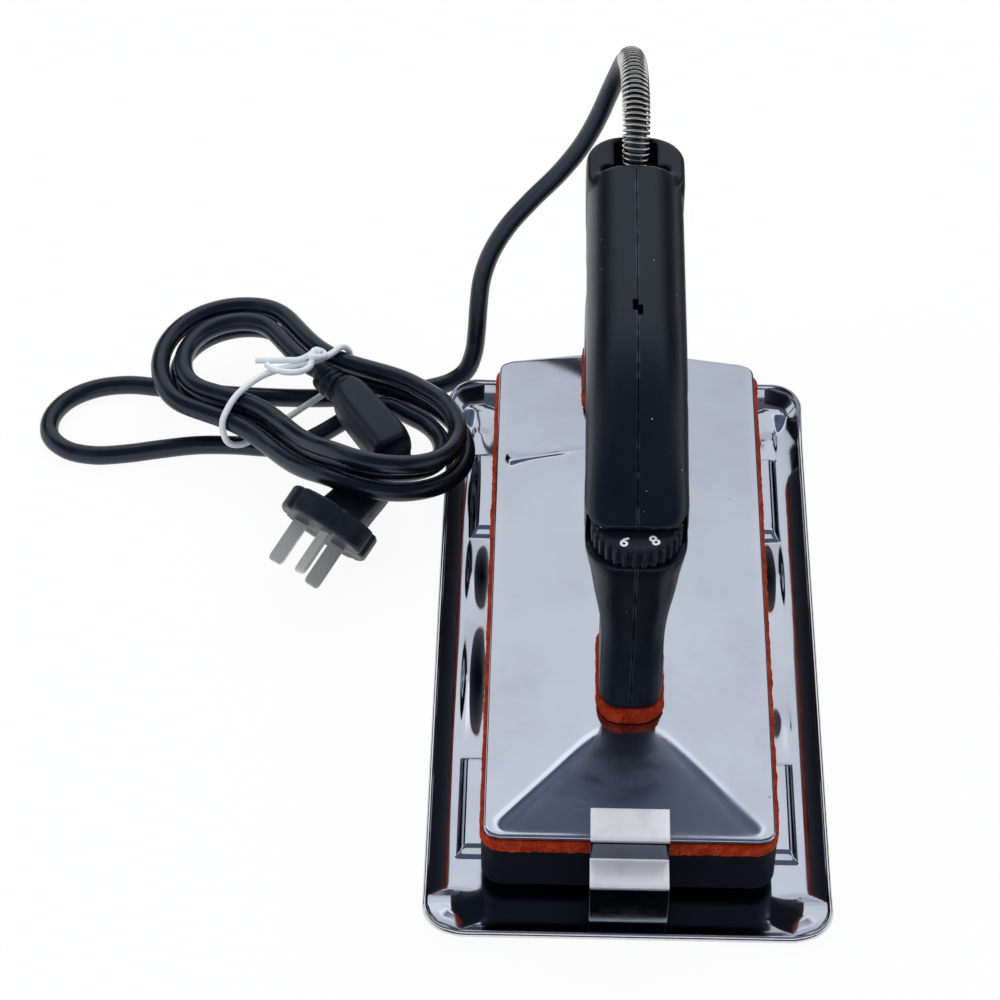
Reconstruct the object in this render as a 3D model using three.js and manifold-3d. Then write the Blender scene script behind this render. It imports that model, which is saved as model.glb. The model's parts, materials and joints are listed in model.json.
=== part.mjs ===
// Carpet seaming iron on its tray, in millimetres, +Z up.
// The nose points towards -Y. The origin is the middle of the tray's underside.
import * as THREE from 'three';
import { mergeVertices } from 'three/addons/utils/BufferGeometryUtils.js';
import Module from 'manifold-3d';

const wasm = await Module();
wasm.setup();

// Clearances shared by all pieces
const seat = 0.3;
const overrun = 2;
const roundestShare = 0.96;

// Soleplate
const soleWidth = 102;
const soleLength = 236;
const soleHeight = 20;
const soleCorner = 8;
const soleFloor = 8;
const soleWall = 7;
const noseChamfer = 2;

// Tray, sized round the soleplate
const sideRoom = 20;
const apronDepth = 20;
const rearRoom = 14;
const trayWidth = soleWidth + 2 * sideRoom;
const trayLength = apronDepth + soleLength + rearRoom;
const trayCorner = 12;
const traySheet = 1.2;
const trayWall = 5;
const trayRearWall = 10.5;
const trayWallFlare = 5;
const trayRearRise = 30;
const restTop = 4.7;
const restLength = 45;
const restInset = 15;
const restSlope = 3;
const restMargin = 10;
const restWidth = soleWidth + 2 * restMargin;

// Gasket and hood
const gasketThickness = 5.4;
const gasketProud = 1;
const gasketBand = 9;
const hoodInset = 1;
const hoodOverhang = 0.5;
const hoodWidth = soleWidth - 2 * hoodInset;
const hoodLength = soleLength + hoodOverhang;
const hoodSheet = 1;
const hoodFlange = 2;
const hoodRise = 6;
const hoodCorner = 5;
const hipLength = 44.6;
const ridgeWidth = 21.5;
const padThickness = 5.4;

// Handle, lengths measured back from the nose and heights above the feet
const handleWidth = 35;
const seamGap = 0.3;
const neckWidth = 22;
const neckFront = 48;
const neckLength = 40;
const neckRear = neckFront + neckLength;
const neckHeight = 32;
const gripGap = 70;
const gripThickness = 35;
const gripHeight = gripGap + gripThickness;
const gripSlope = 22;
const gripSlopeLength = 83.5;
const gripEndInset = 19;
const handGapLength = 105;
const neckFlare = 9;
const handGapFront = neckRear + neckFlare;
const handGapRear = handGapFront + handGapLength;
const legWidth = 34;
const legLength = 34;
const legRear = handGapRear + legLength;
const gripEnd = legRear - gripEndInset;
const collarWidth = 36;
const collarOverhang = 4;
const collarRear = legRear + collarOverhang;
const collarDrop = 5;

// Dial and its spindle
const dialRadius = 15.4;
const dialTooth = 1.5;
const dialTeeth = 28;
const dialThickness = 8;
const dialProud = 1;
const gripOverDial = 6;
const dialPlace = neckFront - dialProud + dialRadius;
const dialClearance = 1.6;
const spindleRadius = 3;
const gripStart = dialPlace - gripOverDial;
const gripLevel = gripStart + gripSlopeLength;

// Screws, studs and rivets
const frontStudInset = 10;
const rearStudInset = 9.5;
const frontStudPlace = neckRear - frontStudInset;
const rearStudPlace = handGapRear + rearStudInset;
const studRadius = 3;
const nutAcross = 10;
const nutHeight = 5;
const screwRadius = 1.5;
const screwHeadRadius = 3;
const screwHeadHeight = 2.4;

// Cord, plug and spring
const cordDiameter = 7.5;
const springWire = 1;
const springPitch = 1.9;
const springTurns = 31;
const hankHalfRun = 36;
const hankInner = 21.5;
const hankStep = 9.2;
const hankWaist = 8;
const tieThickness = 2.4;
const plugRadius = 19;
const plugFlange = 10;
const pinWidth = 6.3;
const pinThickness = 1.6;
const pinLength = 18;

// Levels and places that follow from the sizes
const noseY = -trayLength / 2 + apronDepth;
const back = (distance) => noseY + distance;
const soleBase = restTop + seat;
const soleTop = soleBase + soleHeight;
const soleInside = soleBase + soleFloor;
const hoodBase = soleTop + gasketThickness + 2 * seat;
const hoodTop = hoodBase + hoodFlange + hoodRise;
const padBase = hoodTop + seat;
const footBase = padBase + padThickness + seat;
const gripTop = footBase + gripHeight;
const gripUnder = footBase + gripGap;
const neckTop = footBase + neckHeight;
const dialBase = gripUnder + dialClearance;
const slotTop = dialBase + dialThickness + dialClearance;
const halfHandle = handleWidth / 2;
const cordRadius = cordDiameter / 2;

// Finishes
function finish(color, roughness, metalness) {
  return new THREE.MeshStandardMaterial({ color, roughness, metalness });
}
const brightSteel = finish(0xd4d6da, 0.08, 1);
const zincSteel = finish(0xb4b6b4, 0.35, 1);
const brass = finish(0xb08d4a, 0.35, 1);
const coatedCasting = finish(0x14171d, 0.45, 0.1);
const sheath = finish(0x70706c, 0.5, 1);
const redSponge = finish(0xb23a18, 0.9, 0);
const blackPlastic = finish(0x1c1f24, 0.5, 0);
const blackRubber = finish(0x16181c, 0.45, 0);
const ceramic = finish(0xd8d2c4, 0.7, 0);
const whiteTie = finish(0xeef1f4, 0.4, 0);
const wireColours = { live: 0x5a3018, neutral: 0x2848a0, earth: 0x5a9a30 };

// Geometry helpers

/** A manifold solid from a closed geometry. */
function toSolid(geometry) {
  const bare = geometry.clone();
  for (const name of Object.keys(bare.attributes)) {
    if (name !== 'position') bare.deleteAttribute(name);
  }
  const whole = mergeVertices(bare, seat / 1000);
  const triVerts = new Uint32Array(whole.index.array);
  const vertProperties = new Float32Array(whole.attributes.position.array);
  return new wasm.Manifold(new wasm.Mesh({ numProp: 3, vertProperties, triVerts }));
}

/** The geometry of a manifold solid. */
function toGeometry(solid) {
  const mesh = solid.getMesh();
  const geometry = new THREE.BufferGeometry();
  geometry.setAttribute('position', new THREE.BufferAttribute(new Float32Array(mesh.vertProperties), 3));
  geometry.setIndex(new THREE.BufferAttribute(new Uint32Array(mesh.triVerts), 1));
  geometry.computeVertexNormals();
  return geometry;
}

const join = (first, ...others) => others.reduce((sum, next) => sum.add(toSolid(next)), toSolid(first));
const cut = (solid, ...tools) => tools.reduce((rest, tool) => rest.subtract(toSolid(tool)), solid);

/** A closed skin through rings of equal count, capped by a fan at each end and facing outwards. */
function loft(rings) {
  const count = rings[0].length;
  const points = rings.flat();
  const faces = [];
  for (let r = 0; r + 1 < rings.length; r += 1) {
    for (let i = 0; i < count; i += 1) {
      const j = (i + 1) % count;
      const [a, b, c, d] = [r * count + i, r * count + j, (r + 1) * count + j, (r + 1) * count + i];
      faces.push(a, b, c, a, c, d);
    }
  }
  const middle = (ring) => ring.reduce((sum, p) => sum.add(p), new THREE.Vector3()).divideScalar(count);
  const start = points.push(middle(rings[0])) - 1;
  const end = points.push(middle(rings[rings.length - 1])) - 1;
  const last = (rings.length - 1) * count;
  for (let i = 0; i < count; i += 1) {
    const j = (i + 1) % count;
    faces.push(start, j, i, end, last + i, last + j);
  }
  let volume = 0;
  for (let f = 0; f < faces.length; f += 3) {
    volume += points[faces[f]].clone().cross(points[faces[f + 1]]).dot(points[faces[f + 2]]);
  }
  if (volume < 0) faces.reverse();
  const geometry = new THREE.BufferGeometry();
  geometry.setAttribute('position', new THREE.Float32BufferAttribute(points.flatMap((p) => p.toArray()), 3));
  geometry.setIndex(faces);
  geometry.computeVertexNormals();
  return geometry;
}

/** Points round a rectangle with round corners, as [u, v] pairs about its middle. */
function roundedOutline(halfU, halfV, corner, steps = 4) {
  const radius = Math.min(corner, roundestShare * halfU, roundestShare * halfV);
  const outline = [];
  for (let quarter = 0; quarter < 4; quarter += 1) {
    const signU = quarter === 0 || quarter === 3 ? 1 : -1;
    const signV = quarter < 2 ? 1 : -1;
    for (let i = 0; i <= steps; i += 1) {
      const angle = (quarter + i / steps) * Math.PI / 2;
      const u = signU * (halfU - radius) + radius * Math.cos(angle);
      const v = signV * (halfV - radius) + radius * Math.sin(angle);
      outline.push([u, v]);
    }
  }
  return outline;
}

/** A level ring from front to rear at one height; the height may be a function of y. */
function levelRing(halfX, front, rear, corner, height, steps = 4) {
  const outline = roundedOutline(halfX, (rear - front) / 2, corner, steps);
  return outline.map(([x, v]) => {
    const y = (front + rear) / 2 + v;
    return new THREE.Vector3(x, y, typeof height === 'function' ? height(y) : height);
  });
}

/** A block between two heights whose level outline has round corners. */
function block(halfX, front, rear, low, high, corner) {
  return loft([levelRing(halfX, front, rear, corner, low), levelRing(halfX, front, rear, corner, high)]);
}

/** A plain box from its two corners. */
function box(x0, y0, z0, x1, y1, z1) {
  const geometry = new THREE.BoxGeometry(x1 - x0, y1 - y0, z1 - z0);
  return geometry.translate((x0 + x1) / 2, (y0 + y1) / 2, (z0 + z1) / 2);
}

/** An upright cylinder between two heights. */
function post(x, y, radius, low, high, sides = 20) {
  const geometry = new THREE.CylinderGeometry(radius, radius, high - low, sides);
  return geometry.rotateX(Math.PI / 2).translate(x, y, (low + high) / 2);
}

/** A cylinder lying along X between two places. */
function crossPost(y, z, radius, from, to, sides = 16) {
  const geometry = new THREE.CylinderGeometry(radius, radius, to - from, sides);
  return geometry.rotateZ(Math.PI / 2).translate((from + to) / 2, y, z);
}

/** A tube of round section along a curve. */
function tube(curve, radius, sides, steps) {
  const section = new THREE.Shape();
  for (let i = 0; i < sides; i += 1) {
    const angle = i / sides * 2 * Math.PI;
    const place = [radius * Math.cos(angle), radius * Math.sin(angle)];
    if (i === 0) section.moveTo(...place);
    else section.lineTo(...place);
  }
  section.closePath();
  return new THREE.ExtrudeGeometry(section, { steps, extrudePath: curve, curveSegments: sides });
}

/** A wound tube through centres, each with its own outward direction across the run. */
function woundTube(centres, outwards, radius, sides) {
  const rings = centres.map((centre, i) => {
    const before = centres[Math.max(i - 1, 0)];
    const after = centres[Math.min(i + 1, centres.length - 1)];
    const along = after.clone().sub(before).normalize();
    const out = outwards[i].clone().addScaledVector(along, -outwards[i].dot(along)).normalize();
    const side = along.clone().cross(out);
    return Array.from({ length: sides }, (_, k) => {
      const angle = k / sides * 2 * Math.PI;
      const outer = centre.clone().addScaledVector(out, radius * Math.cos(angle));
      return outer.addScaledVector(side, radius * Math.sin(angle));
    });
  });
  return loft(rings);
}

/** The least clear space between stretches of a wound tube that lie further apart along it than reach. */
function leastGap(centres, radius, reach) {
  const travelled = [0];
  for (let i = 1; i < centres.length; i += 1) {
    travelled.push(travelled[i - 1] + centres[i].distanceTo(centres[i - 1]));
  }
  let least = Infinity;
  for (let i = 0; i < centres.length; i += 1) {
    for (let j = i + 1; j < centres.length; j += 1) {
      if (travelled[j] - travelled[i] < reach) continue;
      least = Math.min(least, centres[i].distanceTo(centres[j]));
    }
  }
  return least - 2 * radius;
}

/** 0 below the first value, 1 above the second, and an even blend between them. */
function blend(value, from, to) {
  const share = Math.min(Math.max((value - from) / (to - from), 0), 1);
  return share * share * (3 - 2 * share);
}

const assembly = new THREE.Group();

/** Adds one named piece to the assembly. */
function piece(name, shape, material) {
  const geometry = shape.isBufferGeometry ? shape : toGeometry(shape);
  const mesh = new THREE.Mesh(geometry, material);
  mesh.name = name;
  assembly.add(mesh);
  return mesh;
}

/** A bent sheet strip whose middle line runs through [y, z] points, centred on x = 0. */
function bentStrip(line, thickness, width) {
  const points = line.map(([y, z]) => new THREE.Vector2(y, z));
  const offset = (distance) => points.map((point, i) => {
    const before = points[Math.max(i - 1, 0)];
    const after = points[Math.min(i + 1, points.length - 1)];
    const comingIn = (i > 0 ? point.clone().sub(before) : after.clone().sub(point)).normalize();
    const goingOut = i < points.length - 1 ? after.clone().sub(point) : point.clone().sub(before);
    goingOut.normalize();
    const first = new THREE.Vector2(-comingIn.y, comingIn.x);
    const second = new THREE.Vector2(-goingOut.y, goingOut.x);
    const mitre = first.clone().add(second).divideScalar(1 + first.dot(second));
    return point.clone().addScaledVector(mitre, distance);
  });
  const outline = [...offset(thickness / 2), ...offset(-thickness / 2).reverse()];
  const geometry = new THREE.ExtrudeGeometry(new THREE.Shape(outline), { depth: width, bevelEnabled: false });
  const [x, y, z] = [new THREE.Vector3(1, 0, 0), new THREE.Vector3(0, 1, 0), new THREE.Vector3(0, 0, 1)];
  return geometry.applyMatrix4(new THREE.Matrix4().makeBasis(y, z, x)).translate(-width / 2, 0, 0);
}

// The tray: a pressed sheet pan with a flared wall and a rolled edge, and two hollow rests across it
const halfTray = trayWidth / 2;
const trayEnd = trayLength / 2;
const trayRoll = traySheet;

/** A ring of the pan at an inset from its outline; rise is the share of the rear wall's extra height. */
function trayRing(inset, height, rise) {
  const level = (y) => height + rise * (trayRearWall - trayWall) * blend(y, trayEnd - trayRearRise, trayEnd);
  const ring = levelRing(halfTray - inset, inset - trayEnd, trayEnd - inset, trayCorner - inset, level);
  const kneeY = trayEnd - trayRearRise;
  const left = new THREE.Vector3(inset - halfTray, kneeY, level(kneeY));
  const right = new THREE.Vector3(halfTray - inset, kneeY, level(kneeY));
  ring.splice(ring.length / 2, 0, left);
  ring.push(right);
  return ring;
}

/** A raised rest across the pan, grown or shrunk by an offset on every side. */
function restBlock(front, low, high, offset) {
  const [from, to] = [front - offset, front + restLength + offset];
  const half = restWidth / 2 + offset;
  const [base, top] = [[half, from, to], [half - restSlope, from + restSlope, to - restSlope]];
  return loft([
    levelRing(base[0], base[1], base[2], restSlope, low),
    levelRing(base[0], base[1], base[2], restSlope, traySheet + Math.min(offset, 0)),
    levelRing(top[0], top[1], top[2], restSlope, high),
  ]);
}

const clipWidth = 27;
const clipSheet = 1;
const clipFootRear = 3.5;
const clipFootFront = 12.5;
const clipFront = 16.6;
const clipKnee = 8;
const clipFirstTread = 22.5;
const clipSecondTread = 32.8;
const clipStep = 4.5;
const clipReach = 9;
const rivetSpacing = 16;
const rivetPlace = 8;
const rivetHeadRadius = 2.8;
const rivetHeadHeight = 1.2;
const restFronts = [back(restInset), -back(restInset) - restLength];

let tray = toSolid(loft([
  trayRing(trayWallFlare, 0, 0),
  trayRing(trayRoll / 2, trayWall - trayRoll, 1),
  trayRing(0, trayWall - trayRoll / 2, 1),
  trayRing(trayRoll / 2, trayWall, 1),
  trayRing(trayRoll * 3 / 2, trayWall, 1),
  trayRing(trayRoll * 2, trayWall - trayRoll, 1),
  trayRing(trayWallFlare + traySheet, traySheet, 0),
]));
for (const front of restFronts) tray = tray.add(toSolid(restBlock(front, traySheet / 2, restTop, 0)));
for (const front of restFronts) {
  tray = cut(tray, restBlock(front, -overrun, restTop - traySheet, -traySheet));
}
for (const side of [-1, 1]) {
  tray = cut(tray, post(side * rivetSpacing / 2, back(-rivetPlace), screwRadius + seat, -overrun, trayWall));
}
piece('tray', tray, brightSteel);

// The nose clip: two treads over the iron's nose, riveted to the apron
const clipFootLevel = traySheet + seat + clipSheet / 2;
let clip = toSolid(bentStrip([
  [back(-clipFootRear), clipFootLevel],
  [back(-clipFootFront), clipFootLevel],
  [back(-clipFront), clipKnee],
  [back(-clipFront), soleBase + clipFirstTread],
  [back(-clipStep), soleBase + clipFirstTread],
  [back(-clipStep), soleBase + clipSecondTread],
  [back(clipReach), soleBase + clipSecondTread],
], clipSheet, clipWidth));
for (const side of [-1, 1]) {
  clip = cut(clip, post(side * rivetSpacing / 2, back(-rivetPlace), screwRadius + seat, 0, trayWall));
}
piece('nose_clip', clip, brightSteel);

const rivetHeadBase = clipFootLevel + clipSheet / 2 + seat;
for (const [name, side] of [['clip_rivet_left', -1], ['clip_rivet_right', 1]]) {
  const shank = post(side * rivetSpacing / 2, back(-rivetPlace), screwRadius, seat, rivetHeadBase + seat, 12);
  const headTop = rivetHeadBase + rivetHeadHeight;
  const head = post(side * rivetSpacing / 2, back(-rivetPlace), rivetHeadRadius, rivetHeadBase, headTop, 12);
  piece(name, join(shank, head), zincSteel);
}

// The soleplate: a coated casting with a wall, stud bosses and bosses for the element's bridge
const halfSole = soleWidth / 2;
const soleRear = back(soleLength);
const elementRadius = 4;
const elementSpread = 30;
const elementRear = 195;
const elementBend = 60;
const bridgePlace = 150;
const bridgeLength = 16;
const bridgeThickness = 1.5;
const bridgeScrewSpacing = 32;
const bridgeBossRadius = 4.5;
const studBossRadius = 7;
const frontStudY = back(frontStudPlace);
const rearStudY = back(rearStudPlace);
const elementLevel = soleInside + seat + elementRadius;
const bridgeBase = elementLevel + elementRadius + seat;

let sole = toSolid(loft([
  levelRing(halfSole - noseChamfer, noseY + noseChamfer, soleRear - noseChamfer, soleCorner - noseChamfer, soleBase),
  levelRing(halfSole, noseY, soleRear, soleCorner, soleBase + noseChamfer),
  levelRing(halfSole, noseY, soleRear, soleCorner, soleTop),
]));
sole = cut(sole, block(halfSole - soleWall, noseY + soleWall, soleRear - soleWall, soleInside, soleTop + overrun,
  soleCorner / 2));
for (const y of [frontStudY, rearStudY]) {
  sole = sole.add(toSolid(post(0, y, studBossRadius, soleInside - overrun / 2, soleTop)));
  sole = cut(sole, post(0, y, studRadius + seat, soleInside, soleTop + overrun));
}
for (const side of [-1, 1]) {
  const x = side * bridgeScrewSpacing / 2;
  const bossTop = bridgeBase - seat;
  sole = sole.add(toSolid(post(x, back(bridgePlace), bridgeBossRadius, soleInside - overrun / 2, bossTop)));
  sole = cut(sole, post(x, back(bridgePlace), screwRadius + seat, soleInside, soleTop));
}
piece('soleplate', sole, coatedCasting);

// The heating element: a sheathed rod bent to a U and pressed down by a bridge
const elementTurn = Array.from({ length: 9 }, (_, i) => {
  const angle = i / 8 * Math.PI;
  const x = elementSpread * Math.cos(angle);
  return new THREE.Vector3(x, back(elementBend) - elementSpread * Math.sin(angle), elementLevel);
});
const elementPath = new THREE.CatmullRomCurve3([
  new THREE.Vector3(elementSpread, back(elementRear), elementLevel),
  new THREE.Vector3(elementSpread, back((elementRear + elementBend) / 2), elementLevel),
  ...elementTurn,
  new THREE.Vector3(-elementSpread, back((elementRear + elementBend) / 2), elementLevel),
  new THREE.Vector3(-elementSpread, back(elementRear), elementLevel),
], false, 'centripetal');
piece('heating_element', tube(elementPath, elementRadius, 8, 32), sheath);

const bridgeHalf = elementSpread + 2 * elementRadius;
const bridgeFront = back(bridgePlace) - bridgeLength / 2;
let bridge = toSolid(box(-bridgeHalf, bridgeFront, bridgeBase,
  bridgeHalf, bridgeFront + bridgeLength, bridgeBase + bridgeThickness));
for (const side of [-1, 1]) {
  const x = side * bridgeScrewSpacing / 2;
  bridge = cut(bridge, post(x, back(bridgePlace), screwRadius + seat, soleInside, soleTop));
}
piece('element_bridge', bridge, zincSteel);

const bridgeTop = bridgeBase + bridgeThickness + seat;
for (const [name, side] of [['bridge_screw_left', -1], ['bridge_screw_right', 1]]) {
  const x = side * bridgeScrewSpacing / 2;
  const shank = post(x, back(bridgePlace), screwRadius, soleInside + seat, bridgeTop + seat, 10);
  const head = post(x, back(bridgePlace), screwHeadRadius, bridgeTop, bridgeTop + screwHeadHeight, 10);
  piece(name, join(shank, head), zincSteel);
}

// The thermostat under the spindle, and the fuse beside it
const thermostatWidth = 24;
const thermostatLength = 18;
const thermostatHeight = 10;
const turretRadius = 5;
const turretHeight = 6;
const dialY = back(dialPlace);
const thermostatTop = soleInside + seat + thermostatHeight;
const turretTop = thermostatTop + turretHeight;
const thermostatFront = dialY - thermostatLength * 2 / 3;
piece('thermostat', join(
  box(-thermostatWidth / 2, thermostatFront, soleInside + seat,
    thermostatWidth / 2, thermostatFront + thermostatLength, thermostatTop),
  post(0, dialY, turretRadius, thermostatTop - overrun, turretTop),
), ceramic);

const fuseRadius = 2.5;
const fuseLength = 16;
const fusePlace = 100;
const fuse = new THREE.CylinderGeometry(fuseRadius, fuseRadius, fuseLength, 12);
fuse.translate(2 * fuseRadius, back(fusePlace) + fuseLength / 2, soleInside + seat + fuseRadius);
piece('thermal_fuse', fuse, brass);

// The gasket: a red sponge frame between the casting's wall and the hood
const halfGasket = halfSole + gasketProud;
const gasketBase = soleTop + seat;
const gasketInner = halfGasket - gasketBand;
const gasketFront = noseY - gasketProud;
const gasketRear = soleRear + gasketProud;
let gasket = toSolid(block(halfGasket, gasketFront, gasketRear, gasketBase, gasketBase + gasketThickness, soleCorner));
gasket = cut(gasket, block(gasketInner, gasketFront + gasketBand, gasketRear - gasketBand,
  gasketBase - overrun, gasketBase + gasketThickness + overrun, soleCorner / 2));
piece('hood_gasket', gasket, redSponge);

// The hood: a pressed sheet with a flat rim and a low roof, hipped at the nose and upright at the rear
const ductRadius = 5;
const legBackWall = 5;
const cavityRear = legRear - legBackWall;
const ductY = back(cavityRear - ductRadius);
const spindleBore = spindleRadius + 3 / 2 * seat;

/** The roof's skin, moved inwards and down by an inset. */
function roof(inset, low) {
  const half = hoodWidth / 2 - inset;
  const [front, rear] = [noseY + inset, back(hoodLength) - inset];
  const ridge = ridgeWidth / 2;
  const eaves = hoodBase + hoodFlange - inset;
  return loft([
    levelRing(half, front, rear, hoodCorner, low),
    levelRing(half, front, rear, hoodCorner, eaves),
    levelRing(half - hoodFlange, front + hoodFlange, rear, hoodCorner - hoodFlange, eaves),
    levelRing(ridge, back(hipLength), rear, hoodCorner / 2, hoodTop - inset),
  ]);
}

let hood = cut(toSolid(roof(0, hoodBase)), roof(hoodSheet, hoodBase - overrun));
hood = cut(hood, post(0, frontStudY, studRadius + seat, hoodBase, padBase + overrun));
hood = cut(hood, post(0, rearStudY, studRadius + seat, hoodBase, padBase + overrun));
hood = cut(hood, post(0, dialY, spindleBore, hoodBase, padBase + overrun));
hood = cut(hood, post(0, ductY, ductRadius, hoodBase, padBase + overrun));
piece('hood', hood, brightSteel);

// Spacers carry the studs' pull from the casting to the hood's underside
const spacerRadius = 5;
for (const [name, y] of [['front_spacer', frontStudY], ['rear_spacer', rearStudY]]) {
  const whole = toSolid(post(0, y, spacerRadius, soleTop + seat, hoodTop - hoodSheet - seat));
  piece(name, cut(whole, post(0, y, studRadius + seat, soleTop, hoodTop)), zincSteel);
}

// The foot pads: red sponge under the handle's two feet
const padProud = 0.8;
const frontPadFront = neckFront - 3 * padProud;
const rearPadWidth = legWidth;
let frontPad = toSolid(block(neckWidth / 2 + padProud, back(frontPadFront), back(neckRear + padProud),
  padBase, padBase + padThickness, neckWidth / 3));
frontPad = cut(frontPad, post(0, frontStudY, studRadius + seat, hoodBase, footBase));
frontPad = cut(frontPad, post(0, dialY, spindleBore, hoodBase, footBase));
piece('front_foot_pad', frontPad, redSponge);

let rearPad = toSolid(block(rearPadWidth / 2 + padProud / 2, back(handGapRear - padProud), back(legRear),
  padBase, padBase + padThickness, neckWidth / 4));
rearPad = cut(rearPad, post(0, rearStudY, studRadius + seat, hoodBase, footBase));
rearPad = cut(rearPad, post(0, ductY, ductRadius, hoodBase, footBase));
piece('rear_foot_pad', rearPad, redSponge);

// The handle: two moulded halves with a hand gap, hollow for the spindle, the wires and the cord's end
const gripCorner = 13;
const neckCorner = 8;
const legCorner = 6;
const noseTaper = 4.5;
const footFloor = 15;
const pocketHeight = 8;
const pocketHalf = 6.5;
const clipPocketDrop = 11;
const clipPocketHeight = 5;
const slotRadius = dialRadius + dialClearance;
const cavityHalf = 12.5;
const cavityFront = rearStudPlace;
const collarTop = gripTop - collarDrop;
const collarInset = 3;
const collarFront = handGapRear + collarInset;
const collarCorner = 14;
const collarWall = 4.3;
const collarBackWall = 6;
const collarSkin = 1.2;
const collarDepth = 11;
const collarNotch = 13;
const gripPocketHalf = 11;
const gripPocketInset = 21;
const gripPocketFront = handGapFront + gripPocketInset;
const gripPocketRear = handGapRear - gripPocketInset;
const gripPocketWall = 8;
const screwHeadPlace = 8;
const screwReach = 9;
const latchLength = 5;
const latchWidth = 1.6;
const latchDepth = 3;
const latchStagger = 0.7;
const neckFullWidthShare = 0.78;
const legWaist = 0.8;

const gripBarSlope = (distance) => {
  const share = Math.min(Math.max((distance - gripStart) / (gripLevel - gripStart), 0), 1);
  return gripTop - gripSlope * (1 - Math.sin(share * Math.PI / 2));
};

/** A section of the grip bar at a distance back from the nose. */
function gripRing(distance, halfX, low, top) {
  const outline = roundedOutline(halfX, (top - low) / 2, gripCorner);
  return outline.map(([x, v]) => new THREE.Vector3(x, back(distance), (top + low) / 2 + v));
}

const gripStations = [
  [gripStart, halfHandle - noseTaper],
  [gripStart + noseTaper / 3, halfHandle - noseTaper / 2],
  [gripStart + noseTaper, halfHandle - noseTaper / 6],
  [gripStart + 2 * noseTaper, halfHandle],
  [(gripStart + handGapFront) / 2, halfHandle],
  [handGapFront, halfHandle],
  [(handGapFront + gripLevel) / 2, halfHandle],
  [gripLevel, halfHandle],
  [gripEnd, halfHandle],
];
const gripBar = loft(gripStations.map(
  ([distance, halfX]) => gripRing(distance, halfX, gripUnder, gripBarSlope(distance)),
));

function neckRing(halfX, front, rear, height, corner) {
  return levelRing(halfX, back(front), back(rear), corner, height);
}
const neck = loft([
  neckRing(neckWidth / 2, neckFront - padProud, neckRear - padProud, footBase, neckCorner),
  neckRing(neckWidth / 2, neckFront, neckRear, neckTop, neckCorner),
  neckRing(halfHandle * neckFullWidthShare, neckFront + padProud, (neckRear + handGapFront) / 2,
    (neckTop + gripUnder) / 2, neckCorner + padProud),
  neckRing(halfHandle * (1 + neckFullWidthShare) / 2, neckFront + padProud, handGapFront - 2 * padProud,
    gripUnder - noseTaper, gripCorner - padProud),
  neckRing(halfHandle, neckFront + 2 * padProud, handGapFront + padProud, gripUnder + padProud, gripCorner),
  neckRing(halfHandle, gripStart, handGapFront + 2 * padProud, slotTop + padProud, gripCorner),
]);

const leg = loft([
  neckRing(legWidth / 2, handGapRear, legRear - padProud, footBase, legCorner),
  neckRing(legWidth / 2, handGapRear + padProud, legRear - padProud, neckTop - padProud, legCorner),
  neckRing(legWidth / 2 - legWaist, handGapRear + 2 * padProud, legRear - 2 * padProud, neckTop, legCorner),
  neckRing(legWidth / 2 - legWaist / 2, handGapRear, legRear, (neckTop + gripUnder) / 2, legCorner),
  neckRing(halfHandle, handGapRear - noseTaper, legRear + padProud, gripUnder, legCorner),
  neckRing(halfHandle, handGapRear - 2 * noseTaper, legRear + padProud, gripUnder + 2 * noseTaper, legCorner),
]);

const collar = loft([
  neckRing(halfHandle, collarFront, legRear + padProud, gripUnder + noseTaper, legCorner),
  neckRing(collarWidth / 2, collarFront, collarRear, gripUnder + 3 * noseTaper, collarCorner / 2),
  neckRing(collarWidth / 2, collarFront, collarRear, collarTop - padProud, collarCorner),
  neckRing(collarWidth / 2 - padProud, collarFront, collarRear - padProud, collarTop, collarCorner - padProud),
]);

// The cord's way out of the collar: straight up and a little back, then over in an arc
const cordLean = 69.5 / 180 * Math.PI;
const cordMouthInset = 15;
const cordMouthDrop = 7;
const cordOut = new THREE.Vector3(0, Math.cos(cordLean), Math.sin(cordLean));
const cordMouth = new THREE.Vector3(0, back(collarRear - cordMouthInset), collarTop - cordMouthDrop);
const cordBoreLength = 60;
const springSeatDrop = 4;

/** A cylinder about the cord's way out, between two distances along it from the mouth. */
function cordBore(radius, from, to, sides = 20) {
  const geometry = new THREE.CylinderGeometry(radius, radius, to - from, sides);
  const turn = new THREE.Quaternion().setFromUnitVectors(new THREE.Vector3(0, 1, 0), cordOut);
  const middle = cordMouth.clone().addScaledVector(cordOut, (from + to) / 2);
  return geometry.applyQuaternion(turn).translate(middle.x, middle.y, middle.z);
}

const springRadius = cordRadius + springWire + seat / 2;
const springOutside = springRadius + springWire / 2 + seat;
const neckScrewInset = 8;
const neckScrewHeight = 45;
const gripScrewRise = 17;
const gripScrewInset = 14;
const legScrewInset = 4.7;
const legScrewHeight = 40;
const handleScrews = [
  [neckRear - neckScrewInset, neckScrewHeight],
  [handGapFront + gripScrewInset, gripGap + gripScrewRise],
  [handGapRear - gripScrewInset, gripGap + gripScrewRise],
  [handGapRear + legScrewInset, legScrewHeight],
];
const clampScrewSpacing = 15;
const clampDrop = 1.5;
const clampHeadroom = 4.5;
const clampRise = gripGap - clampDrop;
const cavityTop = clampRise + clampHeadroom;
const clampLevel = footBase + clampRise;
const clampScrewDepth = 10;

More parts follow.
